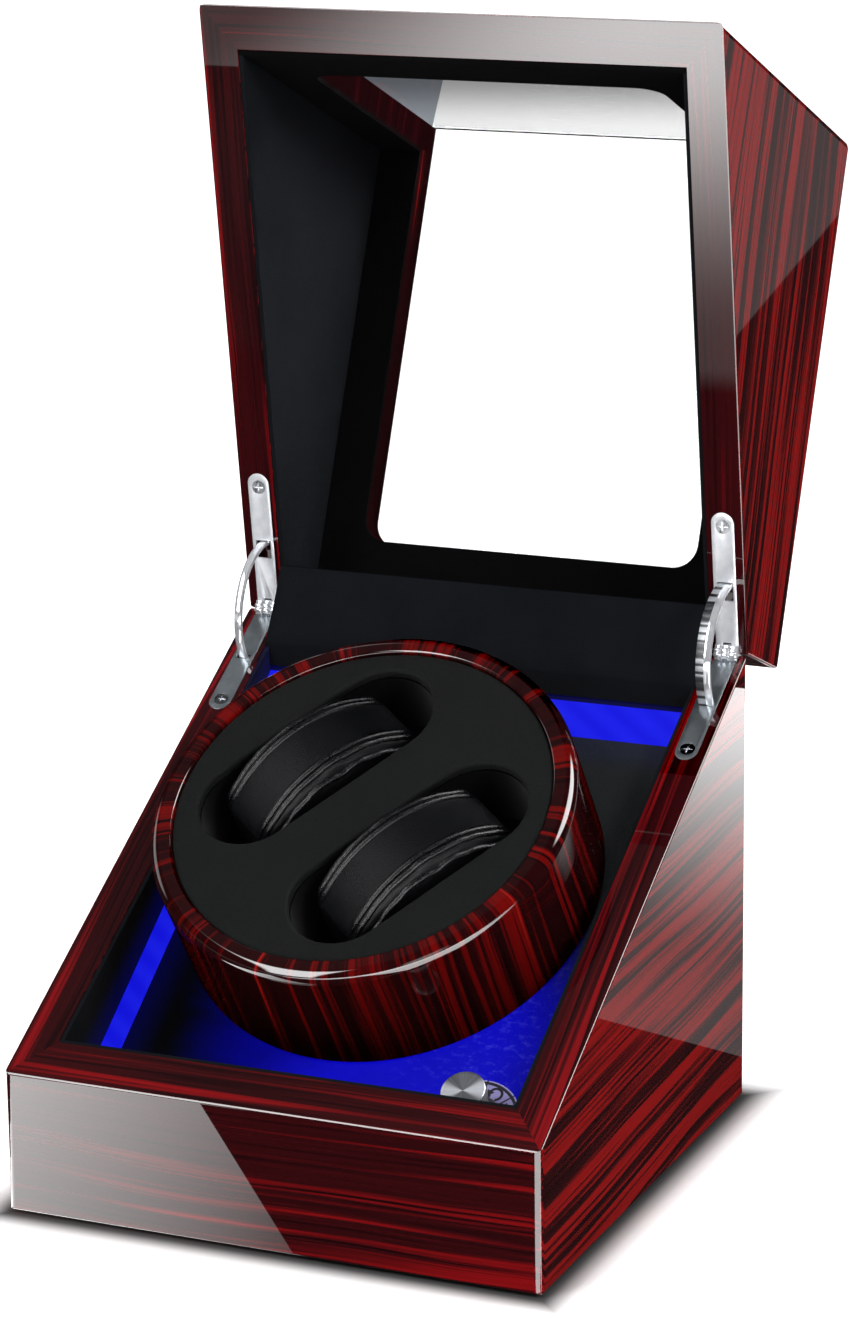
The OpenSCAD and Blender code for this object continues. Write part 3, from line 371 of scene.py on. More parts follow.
# ---------------------------------------------------------------- finishes
def lacquered_wood(name, lively, streak, ground, number=0.0, lacquer=1.0):
    """Polished veneer: dark maroon with long red streaks, under a thick clear lacquer.

    lively, 0 to 1, is how many streaks it has, and number tells one sheet of veneer from another.
    """
    dark, spark = tone(22, 4, 6), tone(176, 34, 28)
    f = Finish(name)
    u, v, board = f.grain()
    board = board + number
    bend = f.noise(f.join(u * 5.0, v * 9, board * 3.1), detail=1) - 0.5
    ripple = f.noise(f.join(u * 26, v * 70, board * 4.3), detail=1) - 0.5
    across = v + bend * 0.018 + ripple * 0.0009
    bands = f.noise(f.join(u * 2.4, across * 150, board * 5.3), detail=1)
    lines = f.noise(f.join(u * 7, across * 620, board * 7.7), detail=2, rough=0.5)
    fibre = f.noise(f.join(u * 16, across * 950, board * 9.1), detail=1)
    patch = f.noise(f.join(u * 4.5, across * 30, board * 6.7), detail=1) - 0.5
    score = bands * 0.58 + lines * 0.42 + patch * 0.30
    bright = f.rise(score, 0.535 - 0.095 * lively, 0.655 - 0.085 * lively)
    colour = f.mix(lines, tone(36, 7, 10), ground)
    colour = f.mix(bright * (0.62 + 0.5 * fibre), colour, streak)
    colour = f.mix(f.rise(lines, 0.68, 0.80) * f.rise(bands, 0.48, 0.60), colour, spark)
    colour = f.mix(f.rise(lines, 0.44, 0.33) * 0.75, colour, dark)
    colour = f.mix(f.rise(fibre, 0.42, 0.28) * 0.2, colour, dark)
    return f.surface(Base_Color=colour, Roughness=0.55 - bright * 0.08, Specular_IOR_Level=0.0,
                     Normal=f.relief(lines, 0.00001, 0.1),
                     Coat_Weight=lacquer, Coat_Roughness=0.012, Coat_IOR=1.5)


def plain_wood():
    """Pale bare wood with darker rings and short dark flecks."""
    f = Finish("plain_wood")
    x, y, z = f.split(f.place())
    rings = f.noise(f.join(x * 9, (y + z) * 240, z * 30), detail=3, rough=0.6)
    fleck = f.noise(f.join(x * 120, y * 900, z * 900), detail=1)
    colour = f.mix(f.rise(rings, 0.35, 0.65), tone(196, 160, 112), tone(150, 108, 66))
    colour = f.mix(f.rise(fleck, 0.62, 0.72) * 0.6, colour, tone(104, 70, 42))
    return f.surface(Base_Color=colour, Roughness=0.62 + rings * 0.15, Normal=f.relief(rings, 0.0002))


def suede(name, shade, light, sheen, gloss=0.82, glow=0.0):
    """Short-napped lining cloth, brushed unevenly; glow is how bright its painted blue light is by the deck.
    """
    f = Finish(name)
    place = f.place()
    _, _, over_deck = f.on_deck()
    # painted light: a blue glow, strongest where the cloth meets the deck, for the strips' light
    painted_blue_glow = f.times(tone(6, 8, 235), f.rise(over_deck, 0.013, -0.002) * glow)
    nap = f.noise(place, 2600, detail=2, rough=0.7)
    brushed = f.noise(place, 34, detail=3, rough=0.6)
    colour = f.mix(brushed * 0.75 + nap * 0.25, shade, light)
    return f.surface(Base_Color=colour, Roughness=gloss + nap * 0.12, Specular_IOR_Level=0.0,
                     Sheen_Weight=sheen, Sheen_Roughness=0.4, Emission_Color=painted_blue_glow, Emission_Strength=1.0,
                     Normal=f.relief(nap, 0.0002, 0.7))


def leather(name, shade, light, grain_size, gloss, depth, shine):
    """Fine-grained leather: small rounded pebbles parted by creases. grain_size is in millimetres."""
    f = Finish(name)
    place = f.place()
    wander = f.times(f.noise(place, 900.0, out=1), 0.0004)
    bent = f.node("ShaderNodeVectorMath", {"operation": "ADD"}, {0: place, 1: wander})
    creases = f.cells(bent, 1000 / grain_size, "DISTANCE_TO_EDGE")
    pebble = f.rise(creases, 0.0, 0.28)
    cloud = f.noise(place, 46, detail=3, rough=0.6)
    colour = f.mix(cloud, shade, light)
    # painted shade: the creases between the pebbles are darkened
    colour = f.mix((1 - pebble) * 0.45, colour, (0.002, 0.002, 0.002, 1))
    return f.surface(Base_Color=colour, Roughness=gloss + (1 - pebble) * 0.2 + cloud * 0.06,
                     Specular_IOR_Level=shine, Normal=f.relief(pebble, depth, 0.8))


def deck_velvet():
    """Black velvet with a painted blue glow on its front right part, for light from under the drum, and
    painted shade at its left.
    """
    f = Finish("deck_velvet")
    x, back, _ = f.on_deck()
    nap = f.noise(f.place(), 2200, detail=2, rough=0.7)
    mottle = f.noise(f.join(x * 260, back * 420, 0), detail=4, rough=0.7)
    cloud = f.noise(f.join(x * 40, back * 70, 3), detail=2)
    # painted light: a blue glow over the front right, dimmer at the far right, with paler painted highlight
    # specks, and a faint painted glow by the strips
    spread = f.rise(x + (cloud - 0.5) * 0.02, -0.062, 0.014) * f.rise(back, 0.000, -0.050)
    dim = f.rise(x, 0.080, 0.052)
    painted_blue_wash = spread ** 1.3 * (0.35 + 0.65 * dim) * (0.62 + 0.20 * mottle + 0.26 * cloud)
    painted_edge_glow = f.rise(x, -0.057, -0.076) * 0.09 + f.rise(back, 0.056, 0.068) * 0.02
    blue = f.mix(f.rise(mottle, 0.50, 0.85) * f.rise(x, 0.01, 0.07), tone(11, 8, 200), tone(74, 72, 224))
    glow = f.times(blue, painted_blue_wash + painted_edge_glow)
    # painted shade: the velvet is darker to the left of the drum, and darker under the painted glow
    painted_shade = (0.12 + 0.88 * f.rise(x, -0.03, 0.03)) * (1 - 0.75 * spread)
    black = f.times(f.mix(nap, tone(28, 30, 31), tone(50, 53, 54)), painted_shade)
    return f.surface(Base_Color=black, Roughness=0.9, Specular_IOR_Level=0.0, Sheen_Weight=0.03,
                     Sheen_Roughness=0.4, Emission_Color=glow, Emission_Strength=1.0,
                     Normal=f.relief(nap, 0.0003, 0.8))


def light_strip():
    """Milky strip with a row of small lamps behind it, each a slightly brighter spot."""
    f = Finish("light_diffuser")
    x, y, z = f.split(f.place())
    along = f.noise(f.join(x * 40, y * 40, z * 40), detail=1)
    lamps = f.wave((x + y + z) * 420)
    colour = f.mix(lamps * 0.35 + along * 0.2, tone(12, 14, 214), tone(30, 38, 236))
    return f.surface(Base_Color=f.times(colour, 0.15), Roughness=0.5, Specular_IOR_Level=0.2,
                     Emission_Color=colour, Emission_Strength=0.95)


def polished_metal(name, bright, dark, rough, smear, metal):
    """Metal with faint cloudy wear; smear is how much duller the worn spots are."""
    f = Finish(name)
    x, y, z = f.split(f.place())
    wear = f.noise(f.join(x * 300, y * 300, z * 300), detail=3, rough=0.6)
    return f.surface(Base_Color=f.mix(f.rise(wear, 0.3, 0.7), dark, bright), Metallic=metal,
                     Roughness=rough + wear * smear, Normal=f.relief(wear, 0.000002, 0.2))


def ribbed_steel():
    """Grey steel with ribs across it, along the outside of a stay; the ribs' highlights and shade are painted
    into its colour.
    """
    f = Finish("ribbed_steel")
    place = f.place()
    _, y, z = f.split(place)
    ribs = f.wave((z + y * 0.3) * 2300)
    steps = f.wave(z * 560 + 1.0)
    worn = f.noise(place, 160, detail=2)
    # painted highlight and shade: pale bands on the ribs, broad dark bands, and random wear
    shade = f.rise(ribs, 0.1, 0.5) * (0.08 + 0.92 * f.rise(steps, 0.30, 0.62)) * (0.7 + 0.6 * worn)
    return f.surface(Base_Color=f.mix(shade, tone(34, 35, 38), tone(168, 171, 176)), Metallic=0.2,
                     Roughness=0.35 + worn * 0.1, Normal=f.relief(ribs, 0.0002, 0.5))


def spun_aluminium():
    """Turned on a lathe: fine rings, with bright and dull sectors painted into its colour as the highlights
    of spun metal.
    """
    f = Finish("spun_aluminium")
    side, back = f.by_knob()
    angle = f.math("ARCTAN2", back, side)
    rings = f.noise(f.join(f.length(side, back) * 9000, 0.0), detail=1)
    fine = f.noise(f.join(f.math("SINE", angle) * 6, f.math("COSINE", angle) * 6), detail=2)
    # painted highlight: two bright sectors facing each other across the knob's axis
    painted_glare = f.rise(f.wave(angle * 2 + 1.1), 0.55, 1.0)
    colour = f.mix(painted_glare * 0.8 + fine * 0.3, tone(62, 65, 72), tone(236, 240, 248))
    return f.surface(Base_Color=colour, Metallic=0.6, Roughness=0.24 + rings * 0.12,
                     Normal=f.relief(rings, 0.00004, 0.6))


def dial_print():
    """Pale plate with eight settings in a ring, each a curved arrow. Its lengths are in millimetres."""
    f = Finish("dial")
    side, back = [way * 1000 for way in f.by_knob()]
    settings_at, arrow_radius, half_line, rim_at = 10.6, 2.1, 0.45, 13.5
    radius = f.length(side, back)
    turn = (f.math("ARCTAN2", back, side) + pi) * (4 / pi)
    part = turn - f.math("FLOOR", turn)
    swing = (part - 0.5) * (pi / 4)
    out = radius * f.math("COSINE", swing) - settings_at
    over = radius * f.math("SINE", swing)
    ring = f.length(out, over)
    arrow = (abs(ring - arrow_radius) < half_line) * (1 - (out < 0) * (abs(over) < 1.0))
    head = f.within(out, -1.6, 0.3) * (abs(over - arrow_radius) < (out + 1.7) * 0.7)
    lines = (abs(part - 0.5) > 0.5 - 0.38 / radius) * (radius > 8.0)
    border = abs(radius - rim_at) < 0.5
    ink = arrow
    for mark in (head, lines, border):
        ink = f.math("MAXIMUM", ink, mark)
    fleck = f.noise(f.place(), 900, detail=2)
    plate = f.mix(fleck, tone(150, 146, 208), tone(178, 174, 226))
    return f.surface(Base_Color=f.mix(ink, plate, tone(22, 20, 34)), Roughness=0.35 + fleck * 0.1,
                     Normal=f.relief(fleck, 0.00003))


def clear_glass():
    """Clear pane. Its low IOR keeps it from showing its own far side."""
    f = Finish("clear_glass")
    streaks = f.noise(f.place(), 9, detail=1)
    return f.surface(Base_Color=(0.99, 1.0, 0.995, 1), Roughness=streaks * 0.004, IOR=1.12,
                     Transmission_Weight=1.0)


def moulded(name, shade, light, gloss):
    """Moulded plastic or rubber with a fine spark texture and a slight mottle."""
    f = Finish(name)
    place = f.place()
    spark = f.noise(place, 1800, detail=2)
    cloud = f.noise(place, 60, detail=2)
    return f.surface(Base_Color=f.mix(cloud, shade, light), Roughness=gloss + spark * 0.12,
                     Normal=f.relief(spark, 0.00006, 0.5))


def printed_board(name, ground, track):
    """Circuit board with tracks and round pale pads."""
    f = Finish(name)
    x, y, z = f.split(f.place())
    runs = f.cells(f.join(x, y, 0), 320, random=0.2)
    pads = f.cells(f.join(x, y, z), 210, random=0.6)
    colour = f.mix(f.rise(runs, 0.55, 0.60) * 0.6, ground, track)
    colour = f.mix(f.rise(pads, 0.16, 0.12), colour, tone(206, 206, 196))
    return f.surface(Base_Color=colour, Roughness=0.35 + pads * 0.2, Normal=f.relief(runs, 0.00005))


def felt():
    """Fluffy black felt."""
    f = Finish("felt")
    place = f.place()
    fluff = f.noise(place, 900, detail=5, rough=0.75, warp=0.6)
    return f.surface(Base_Color=f.mix(fluff, tone(12, 12, 13), tone(44, 44, 46)), Roughness=0.96,
                     Specular_IOR_Level=0.1, Sheen_Weight=0.4, Sheen_Roughness=0.5,
                     Normal=f.relief(fluff, 0.0005))


lacquered_wood("lacquered_wood", 0.15, streak=tone(142, 16, 20), ground=tone(66, 12, 16))
lacquered_wood("rim_wood", 0.3, number=1.9, streak=tone(138, 17, 22), ground=tone(60, 11, 15))
lacquered_wood("lively_wood", 1.0, number=0.7, streak=tone(152, 22, 22), ground=tone(50, 9, 12))
lacquered_wood("jamb_wood", 0.0, number=3.9, streak=tone(50, 12, 16), ground=tone(19, 10, 11), lacquer=0.0)
lacquered_wood("drum_wood", 0.5, number=2.4, streak=tone(112, 11, 10), ground=tone(38, 8, 8))
plain_wood()
suede("black_lining", tone(16, 17, 19), tone(30, 32, 36), sheen=0.02)
suede("strip_side_lining", tone(16, 17, 19), tone(30, 32, 36), sheen=0.02, glow=0.055)
# painted shade: a darker copy of the black lining, for the lid's front and top linings deep in the open lid
suede("painted_shade_lining", tone(10, 10, 11), tone(18, 18, 19), sheen=0.01)
suede("cup_lining", tone(5, 5, 6), tone(12, 12, 14), sheen=0.1, gloss=0.6)
deck_velvet()
felt()
leather("leather", tone(8, 9, 10), tone(16, 17, 19), grain_size=0.7, gloss=0.26, depth=0.00005, shine=0.12)
leather("piping", tone(8, 8, 10), tone(15, 15, 18), grain_size=0.7, gloss=0.20, depth=0.00004, shine=0.25)
leather("face_leather", tone(21, 22, 22), tone(30, 32, 31), grain_size=0.55, gloss=0.5, depth=0.00006,
        shine=0.05)
clear_glass()
# partly painted reflection: chrome and the bright leaf are near white and only partly metallic, so their
# colour shows the pale room chrome mirrors
polished_metal("chrome", tone(226, 228, 233), tone(214, 217, 223), rough=0.07, smear=0.03, metal=0.45)
polished_metal("satin_leaf", tone(140, 147, 152), tone(128, 135, 140), rough=0.2, smear=0.05, metal=0.6)
polished_metal("bright_leaf", tone(226, 228, 232), tone(212, 215, 220), rough=0.28, smear=0.04, metal=0.15)
polished_metal("steel", tone(196, 198, 202), tone(150, 152, 158), rough=0.22, smear=0.12, metal=1.0)
polished_metal("bronze", tone(196, 148, 84), tone(150, 104, 56), rough=0.3, smear=0.15, metal=1.0)
ribbed_steel()
spun_aluminium()
moulded("black_plastic", tone(18, 18, 19), tone(28, 28, 30), gloss=0.4)
moulded("white_plastic", tone(214, 212, 204), tone(232, 230, 224), gloss=0.35)
moulded("belt_rubber", tone(20, 20, 21), tone(34, 34, 35), gloss=0.7)
light_strip()
dial_print()
printed_board("circuit_board", tone(20, 72, 44), tone(40, 118, 72))
printed_board("lamp_board", tone(206, 206, 200), tone(226, 226, 222))


# ---------------------------------------------------------------- making pieces
def true_normals(mesh):
    """Flat faces shade flat; rounded strips turn smoothly from one flat face to the next."""
    soft, nearly_flat, same_strip = cos(radians(36)), 0.9996, 0.62
    small_face = 60 * mm * mm
    mesh.update()
    rounded = mesh.attributes.get("rounded")
    count = len(mesh.polygons)
    strip = [bool(rounded.data[i].value) if rounded else False for i in range(count)]
    normals = [p.normal.copy() for p in mesh.polygons]
    by_vertex = {}
    for p in mesh.polygons:
        for v in p.vertices:
            by_vertex.setdefault(v, []).append(p.index)
    curved = [False] * count
    for p in mesh.polygons:
        if not strip[p.index] and p.area < small_face:
            curved[p.index] = any(not strip[g] and soft < normals[g].dot(normals[p.index]) < nearly_flat
                                  for v in p.vertices for g in by_vertex[v])
    split = []
    for p in mesh.polygons:
        own = normals[p.index]
        for i in p.loop_indices:
            if not strip[p.index] and not curved[p.index]:
                split.append(own)
                continue
            around = [g for g in by_vertex[mesh.loops[i].vertex_index] if normals[g].dot(own) > same_strip]
            flat = [g for g in around if not strip[g] and not curved[g]]
            if flat:
                split.append(normals[max(flat, key=lambda g: mesh.polygons[g].area)])
            else:
                near = [normals[g] for g in around if normals[g].dot(own) > soft]
                split.append(sum(near, Vector()).normalized())
    mesh.polygons.foreach_set("use_smooth", [True] * count)
    mesh.normals_split_custom_set(split)


def add_piece(name, mesh, finish, body, replaced=(), smooth=None):
    """One visible piece. smooth is the angle from which its edges stay sharp, or 0 where none does."""
    piece = linked(name, mesh)
    mesh.materials.clear()
    mesh.materials.append(finishes[finish])
    if smooth is not None:
        mesh.polygons.foreach_set("use_smooth", [True] * len(mesh.polygons))
        if smooth:
            mesh.set_sharp_from_angle(angle=radians(smooth))
    if body:
        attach(piece, body)
    if replaced:
        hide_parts(*replaced)
    return piece


def shell_of(node):
    """The node's mesh as one welded shell in a bmesh."""
    shell = bmesh.new()
    shell.from_mesh(nodes[node].data)
    bmesh.ops.remove_doubles(shell, verts=shell.verts, dist=2e-6)
    return shell


def flatten(shell, angle=1.0):
    """Joins faces that lie in one plane, to an angle in degrees."""
    bmesh.ops.dissolve_limit(shell, angle_limit=radians(angle), verts=shell.verts, edges=shell.edges)


def evaluated(piece):
    """The piece's mesh as its modifiers leave it."""
    return bpy.data.meshes.new_from_object(piece.evaluated_get(bpy.context.evaluated_depsgraph_get()))


def linked(name, data):
    """A new object, in the scene."""
    made = bpy.data.objects.new(name, data)
    bpy.context.scene.collection.objects.link(made)
    return made


def mesh_from(shell, name):
    """The bmesh as a mesh; the bmesh is used up."""
    mesh = bpy.data.meshes.new(name)
    shell.to_mesh(mesh)
    shell.free()
    return mesh


def lay_grain(mesh, rule):
    """Writes the grain at each corner. rule gives a face's two directions and its sheet's number."""
    layer = mesh.attributes.new("grain", "FLOAT_VECTOR", "CORNER")
    for polygon in mesh.polygons:
        along, across, number = rule(polygon.center, polygon.normal)
        for i in polygon.loop_indices:
            point = mesh.vertices[mesh.loops[i].vertex_index].co
            layer.data[i].vector = (point.dot(along), point.dot(across), number)


def board_rule(middle, normal):
    """Grain runs along each board of the case: side to side in front and rear, front to back in the sides."""
    near = {"front": middle.y + half_d, "rear": half_d - middle.y,
            "left": middle.x + half_w, "right": half_w - middle.x}
    board = min(near, key=near.get)
    if near[board] > wall + 1 * mm:
        board = "top"
    along = Vector((1, 0, 0)) if board in ("front", "rear", "top") else Vector((0, 1, 0))
    side_rise = radians(2.5)
    if abs(normal.x) > 0.7:
        along = Vector((0, cos(side_rise), sin(side_rise)))
    along = along - normal * along.dot(normal)
    if along.length < 0.2:
        along = Vector((0, 0, 1)) - normal * normal.z
    along.normalize()
    sheet = {"front": 1.3, "rear": 4.1, "left": 7.7, "right": 11.9, "top": 15.2}[board]
    if abs(normal.z) > 0.5 and board != "top":
        sheet += 3.3
    return along, normal.cross(along), sheet


rim_normal = Vector((0, -sin(rim_slope), cos(rim_slope)))
widest_round = 6 * mm


def rounded_block(planes, radius_of):
    """The case's outer form as one solid between two end planes, each edge rounded as radius_of says."""
    skin = 0.002 * mm
    block = bmesh.new()
    rings = []
    for n, reach in planes:
        corners = [(sx * (half_w + skin), sy * (half_d + skin), (reach + skin - n.y * sy * half_d) / n.z)
                   for sx, sy in ((-1, -1), (1, -1), (1, 1), (-1, 1))]
        rings.append([block.verts.new(corner) for corner in corners])
    block.faces.new(rings[0][::-1])
    block.faces.new(rings[1])
    for i in range(4):
        j = (i + 1) % 4
        block.faces.new((rings[0][i], rings[0][j], rings[1][j], rings[1][i]))
    share = block.edges.layers.float.new("bevel_weight_edge")
    for edge in block.edges:
        edge[share] = radius_of(edge.verts[0].co, edge.verts[1].co) / widest_round
    solid = linked("block", mesh_from(block, "block"))
    bevel = solid.modifiers.new("round", "BEVEL")
    bevel.limit_method, bevel.width, bevel.segments = "WEIGHT", widest_round, 6
    bevel.use_clamp_overlap = False
    return solid


def in_mitre(face):
    """True for the faces inside the case where two boards meet at a corner."""
    return (abs(abs(face.normal.x) - abs(face.normal.y)) < 1e-3 and abs(face.normal.z) < 1e-3
            and all(abs((half_w - abs(v.co.x)) - (half_d - abs(v.co.y))) < 0.02 * mm for v in face.verts))


def case_boards(names, into, end, rim_side, radius_of):
    """The case's boards as one shell, with rounded outer edges, and without the faces inside the mitres."""
    shells = []
    for name in names:
        shell = shell_of(name)
        bmesh.ops.transform(shell, matrix=into, verts=shell.verts)
        flatten(shell)
        shells.append(shell)
    planes = [(n, max(v.co.dot(n) for shell in shells for v in shell.verts))
              for n in (end, rim_normal * rim_side)]
    block = rounded_block(planes if end.z < 0 else planes[::-1], radius_of)
    whole = bmesh.new()
    for shell in shells:
        board = linked("board", mesh_from(shell, "board"))
        common = board.modifiers.new("round", "BOOLEAN")
        common.operation, common.solver, common.object = "INTERSECT", "EXACT", block
        whole.from_mesh(evaluated(board))
        bpy.data.objects.remove(board)
    bpy.data.objects.remove(block)
    bmesh.ops.remove_doubles(whole, verts=whole.verts, dist=3e-6)
    bmesh.ops.delete(whole, geom=[face for face in whole.faces if in_mitre(face)], context="FACES_ONLY")
    planes += [(Vector((side, 0, 0)), half_w) for side in (1, -1)]
    planes += [(Vector((0, side, 0)), half_d) for side in (1, -1)]
    mark = whole.faces.layers.int.new("rounded")
    whole.normal_update()
    for face in whole.faces:
        middle = face.calc_center_median()
        between = [n for n, reach in planes
                   if reach - middle.dot(n) < widest_round and 0.02 < face.normal.dot(n) < 0.9999]
        face[mark] = len(between) >= 2
    return whole


def liven(mesh):
    """The case's sides are cut from the liveliest veneer, and its rims from livelier than its front."""
    front_top = 65 * mm
    plain, lively, rim = 0, 1, 2
    for name in ("lively_wood", "rim_wood"):
        mesh.materials.append(finishes[name])
    for polygon in mesh.polygons:
        middle, normal = polygon.center, polygon.normal
        on_rim = abs(normal.x) < 0.5 and abs(normal.y) > 0.3 and abs(normal.z) > 0.3
        front_rim = middle.y < -half_d + wall and middle.z < front_top
        polygon.material_index = lively if abs(normal.x) > 0.7 else rim if on_rim and not front_rim else plain


def make_base_case():
    """Four boards with a sloping rim, rounded most at the upright corners."""
    names = ["base_front_panel", "base_rear_panel", "base_left_side", "base_right_side"]

    def radius(a, b):
        if abs(a.z - b.z) > 20 * mm and abs(a.y - b.y) < 1 * mm:
            return 2.6 * mm
        return 0.5 * mm if max(a.z, b.z) < 10 * mm else 0.65 * mm

    mesh = mesh_from(case_boards(names, Matrix.Identity(4), Vector((0, 0, -1)), 1, radius), "base_case")
    lay_grain(mesh, board_rule)
    add_piece("base_case", mesh, "lacquered_wood", "base", names)
    liven(mesh)
    true_normals(mesh)


def in_window(middle, normal):
    """True for the faces of the window's opening, in the closed lid."""
    half_opening, sill, back_edge, slack = 68 * mm, 60 * mm, 70 * mm, 0.5 * mm
    if abs(middle.x) > half_opening or middle.z < sill or middle.y > back_edge:
        return False
    in_front_panel = middle.y < -half_d + wall + slack and middle.z < case_top - wall - slack
    return abs(normal.y if in_front_panel else normal.z) < 0.7


def lid_rule(middle, normal):
    """The lid's boards are cut as the base's are, from other sheets of veneer."""
    along, across, number = board_rule(middle, normal)
    return along, across, number + 31.0


def make_lid_case():
    """Five boards round the window, rounded as a closed lid and then swung open."""
    names = ["lid_front_panel", "lid_top_panel", "lid_rear_panel", "lid_left_side", "lid_right_side"]

    def radius(a, b):
        if abs(a.y - b.y) < 1 * mm and abs(a.x - b.x) < 1 * mm:
            return 3.0 * mm if a.y < 0 else 0.8 * mm
        if min(a.z, b.z) < case_top - 5 * mm:
            return 0.6 * mm
        return 5.0 * mm if min(a.y, b.y) > 0 else 2.0 * mm

    mesh = mesh_from(case_boards(names, swing_open.inverted(), Vector((0, 0, 1)), -1, radius), "lid_case")
    lay_grain(mesh, lid_rule)
    opening = [p.index for p in mesh.polygons if in_window(p.center, p.normal)]
    mesh.transform(swing_open)
    add_piece("lid_case", mesh, "lacquered_wood", "lid", names)
    liven(mesh)
    mesh.materials.append(finishes["jamb_wood"])
    jamb = len(mesh.materials) - 1
    for i in opening:
        mesh.polygons[i].material_index = jamb
    true_normals(mesh)


# ---------------------------------------------------------------- drum
def arc(x, z, radius, start, end, steps):
    """Points of an arc in a profile, angles in degrees."""
    return [(x + radius * cos(radians(start + (end - start) * i / steps)),
             z + radius * sin(radians(start + (end - start) * i / steps))) for i in range(steps + 1)]


def turned(name, profile, place, steps, closed=True):
    """A turned part: its profile of (radius, height) swept round Z, with the grain along the profile."""
    count, sheet = len(profile), 60.0
    lengths = [0.0]
    for (r0, z0), (r1, z1) in zip(profile, profile[1:] + profile[:1]):
        lengths.append(lengths[-1] + hypot(r1 - r0, z1 - z0))
    widest = max(r for r, _ in profile)
    vertices, faces, grain = [], [], []
    for i in range(steps):
        turn = 2 * pi * i / steps
        vertices += [(r * cos(turn), r * sin(turn), z) for r, z in profile]
        j = (i + 1) % steps
        v0, v1 = widest * 2 * pi * i / steps, widest * 2 * pi * (i + 1) / steps
        for k in range(count if closed else count - 1):
            m = (k + 1) % count
            faces.append((i * count + k, j * count + k, j * count + m, i * count + m))
            grain += [(lengths[k], v0, sheet), (lengths[k], v1, sheet),
                      (lengths[k + 1], v1, sheet), (lengths[k + 1], v0, sheet)]
    mesh = bpy.data.meshes.new(name)
    mesh.from_pydata(vertices, [], faces)
    layer = mesh.attributes.new("grain", "FLOAT_VECTOR", "CORNER")
    for item, value in zip(layer.data, grain):
        item.vector = value
    mesh.transform(place)
    mesh.update()
    return mesh


def make_drum_ring():
    """Wooden ring, veneered all round, with a rounded lip."""
    outer, inner, low, high = 71.0 * mm, 63.5 * mm, 0.8 * mm, 45.6 * mm
    edge, lip = 0.8 * mm, 3.9 * mm
    profile = [(inner, low), (outer - edge, low)] + arc(outer - edge, low + edge, edge, -60, 0, 3)
    profile += [(outer, low + 12 * mm), (outer, low + 25 * mm)] + arc(outer - lip, high - lip, lip, 0, 90, 10)
    profile += arc(inner + edge, high - edge, edge, 90, 180, 4) + [(inner, high - 20 * mm)]
    mesh = turned("drum_ring_veneered", profile, deck, 240)
    add_piece("drum_ring_veneered", mesh, "drum_wood", "drum", ["drum_ring"], smooth=40)


def cup_place(side, face):
    """Where a cup lies on the drum's face: its middle, with X along it."""
    cup_turn, cup_gap = radians(53), 28 * mm
    return face @ Matrix.Rotation(cup_turn, 4, "Z") @ Matrix.Translation((0, side * cup_gap, 0))


def stadium(length, width, steps=24):
    """Outline of a long hole with round ends."""
    right = arc((length - width) / 2, 0, width / 2, -90, 90, steps)
    return right + [(-x, -y) for x, y in right]


def make_drum_face():
    """Leather-covered board with two long mouths whose edges roll down into the cups."""
    thick, roll, face_radius, mouth_length, mouth_width = 2.0 * mm, 1.3 * mm, 63.35 * mm, 87.5 * mm, 35 * mm
    curve = bpy.data.curves.new("drum_face_cover", "CURVE")
    curve.dimensions, curve.fill_mode = "2D", "BOTH"
    curve.extrude, curve.bevel_depth, curve.bevel_resolution, curve.offset = thick - roll, roll, 3, -roll
    outlines = [arc(0, 0, face_radius, 0, 360, 160)[:-1]]
    for side in (1, -1):
        place = cup_place(side, Matrix.Identity(4))
        mouth = [tuple((place @ Vector((x, y, 0))).xy) for x, y in stadium(mouth_length, mouth_width)]
        outlines.append(mouth[::-1])
    for outline in outlines:
        spline = curve.splines.new("POLY")
        spline.points.add(len(outline) - 1)
        for point, (x, y) in zip(spline.points, outline):
            point.co = (x, y, 0, 1)
        spline.use_cyclic_u = True
    board = linked("cover_outline", curve)
    mesh = evaluated(board)
    bpy.data.objects.remove(board)
    mesh.transform(deck @ Matrix.Translation((0, 0, face_z - thick)))
    add_piece("drum_face_cover", mesh, "face_leather", "drum", ["drum_face"], smooth=35)


# ---------------------------------------------------------------- cushions
def swell(piece, start, limit):
    """Cloth pressure swells the pad, by no more than a limit at any point."""
    scene = bpy.context.scene
    steps = 20
    cloth = piece.modifiers.new("swell", "CLOTH")
    cloth.settings.use_pressure, cloth.settings.uniform_pressure_force = True, 4.0
    cloth.settings.tension_stiffness = cloth.settings.compression_stiffness = 25
    cloth.settings.effector_weights.gravity = 0
    cloth.settings.quality = 6
    cloth.point_cache.frame_start, cloth.point_cache.frame_end = 1, steps
    for step in range(1, steps + 1):
        scene.frame_set(step)
    moved = evaluated(piece)
    piece.modifiers.clear()
    for vertex, origin, puffed in zip(piece.data.vertices, start, moved.vertices):
        shift = puffed.co - origin
        if shift.length > limit:
            shift *= limit / shift.length
        vertex.co = origin + shift
    bpy.data.meshes.remove(moved)
    scene.frame_set(1)


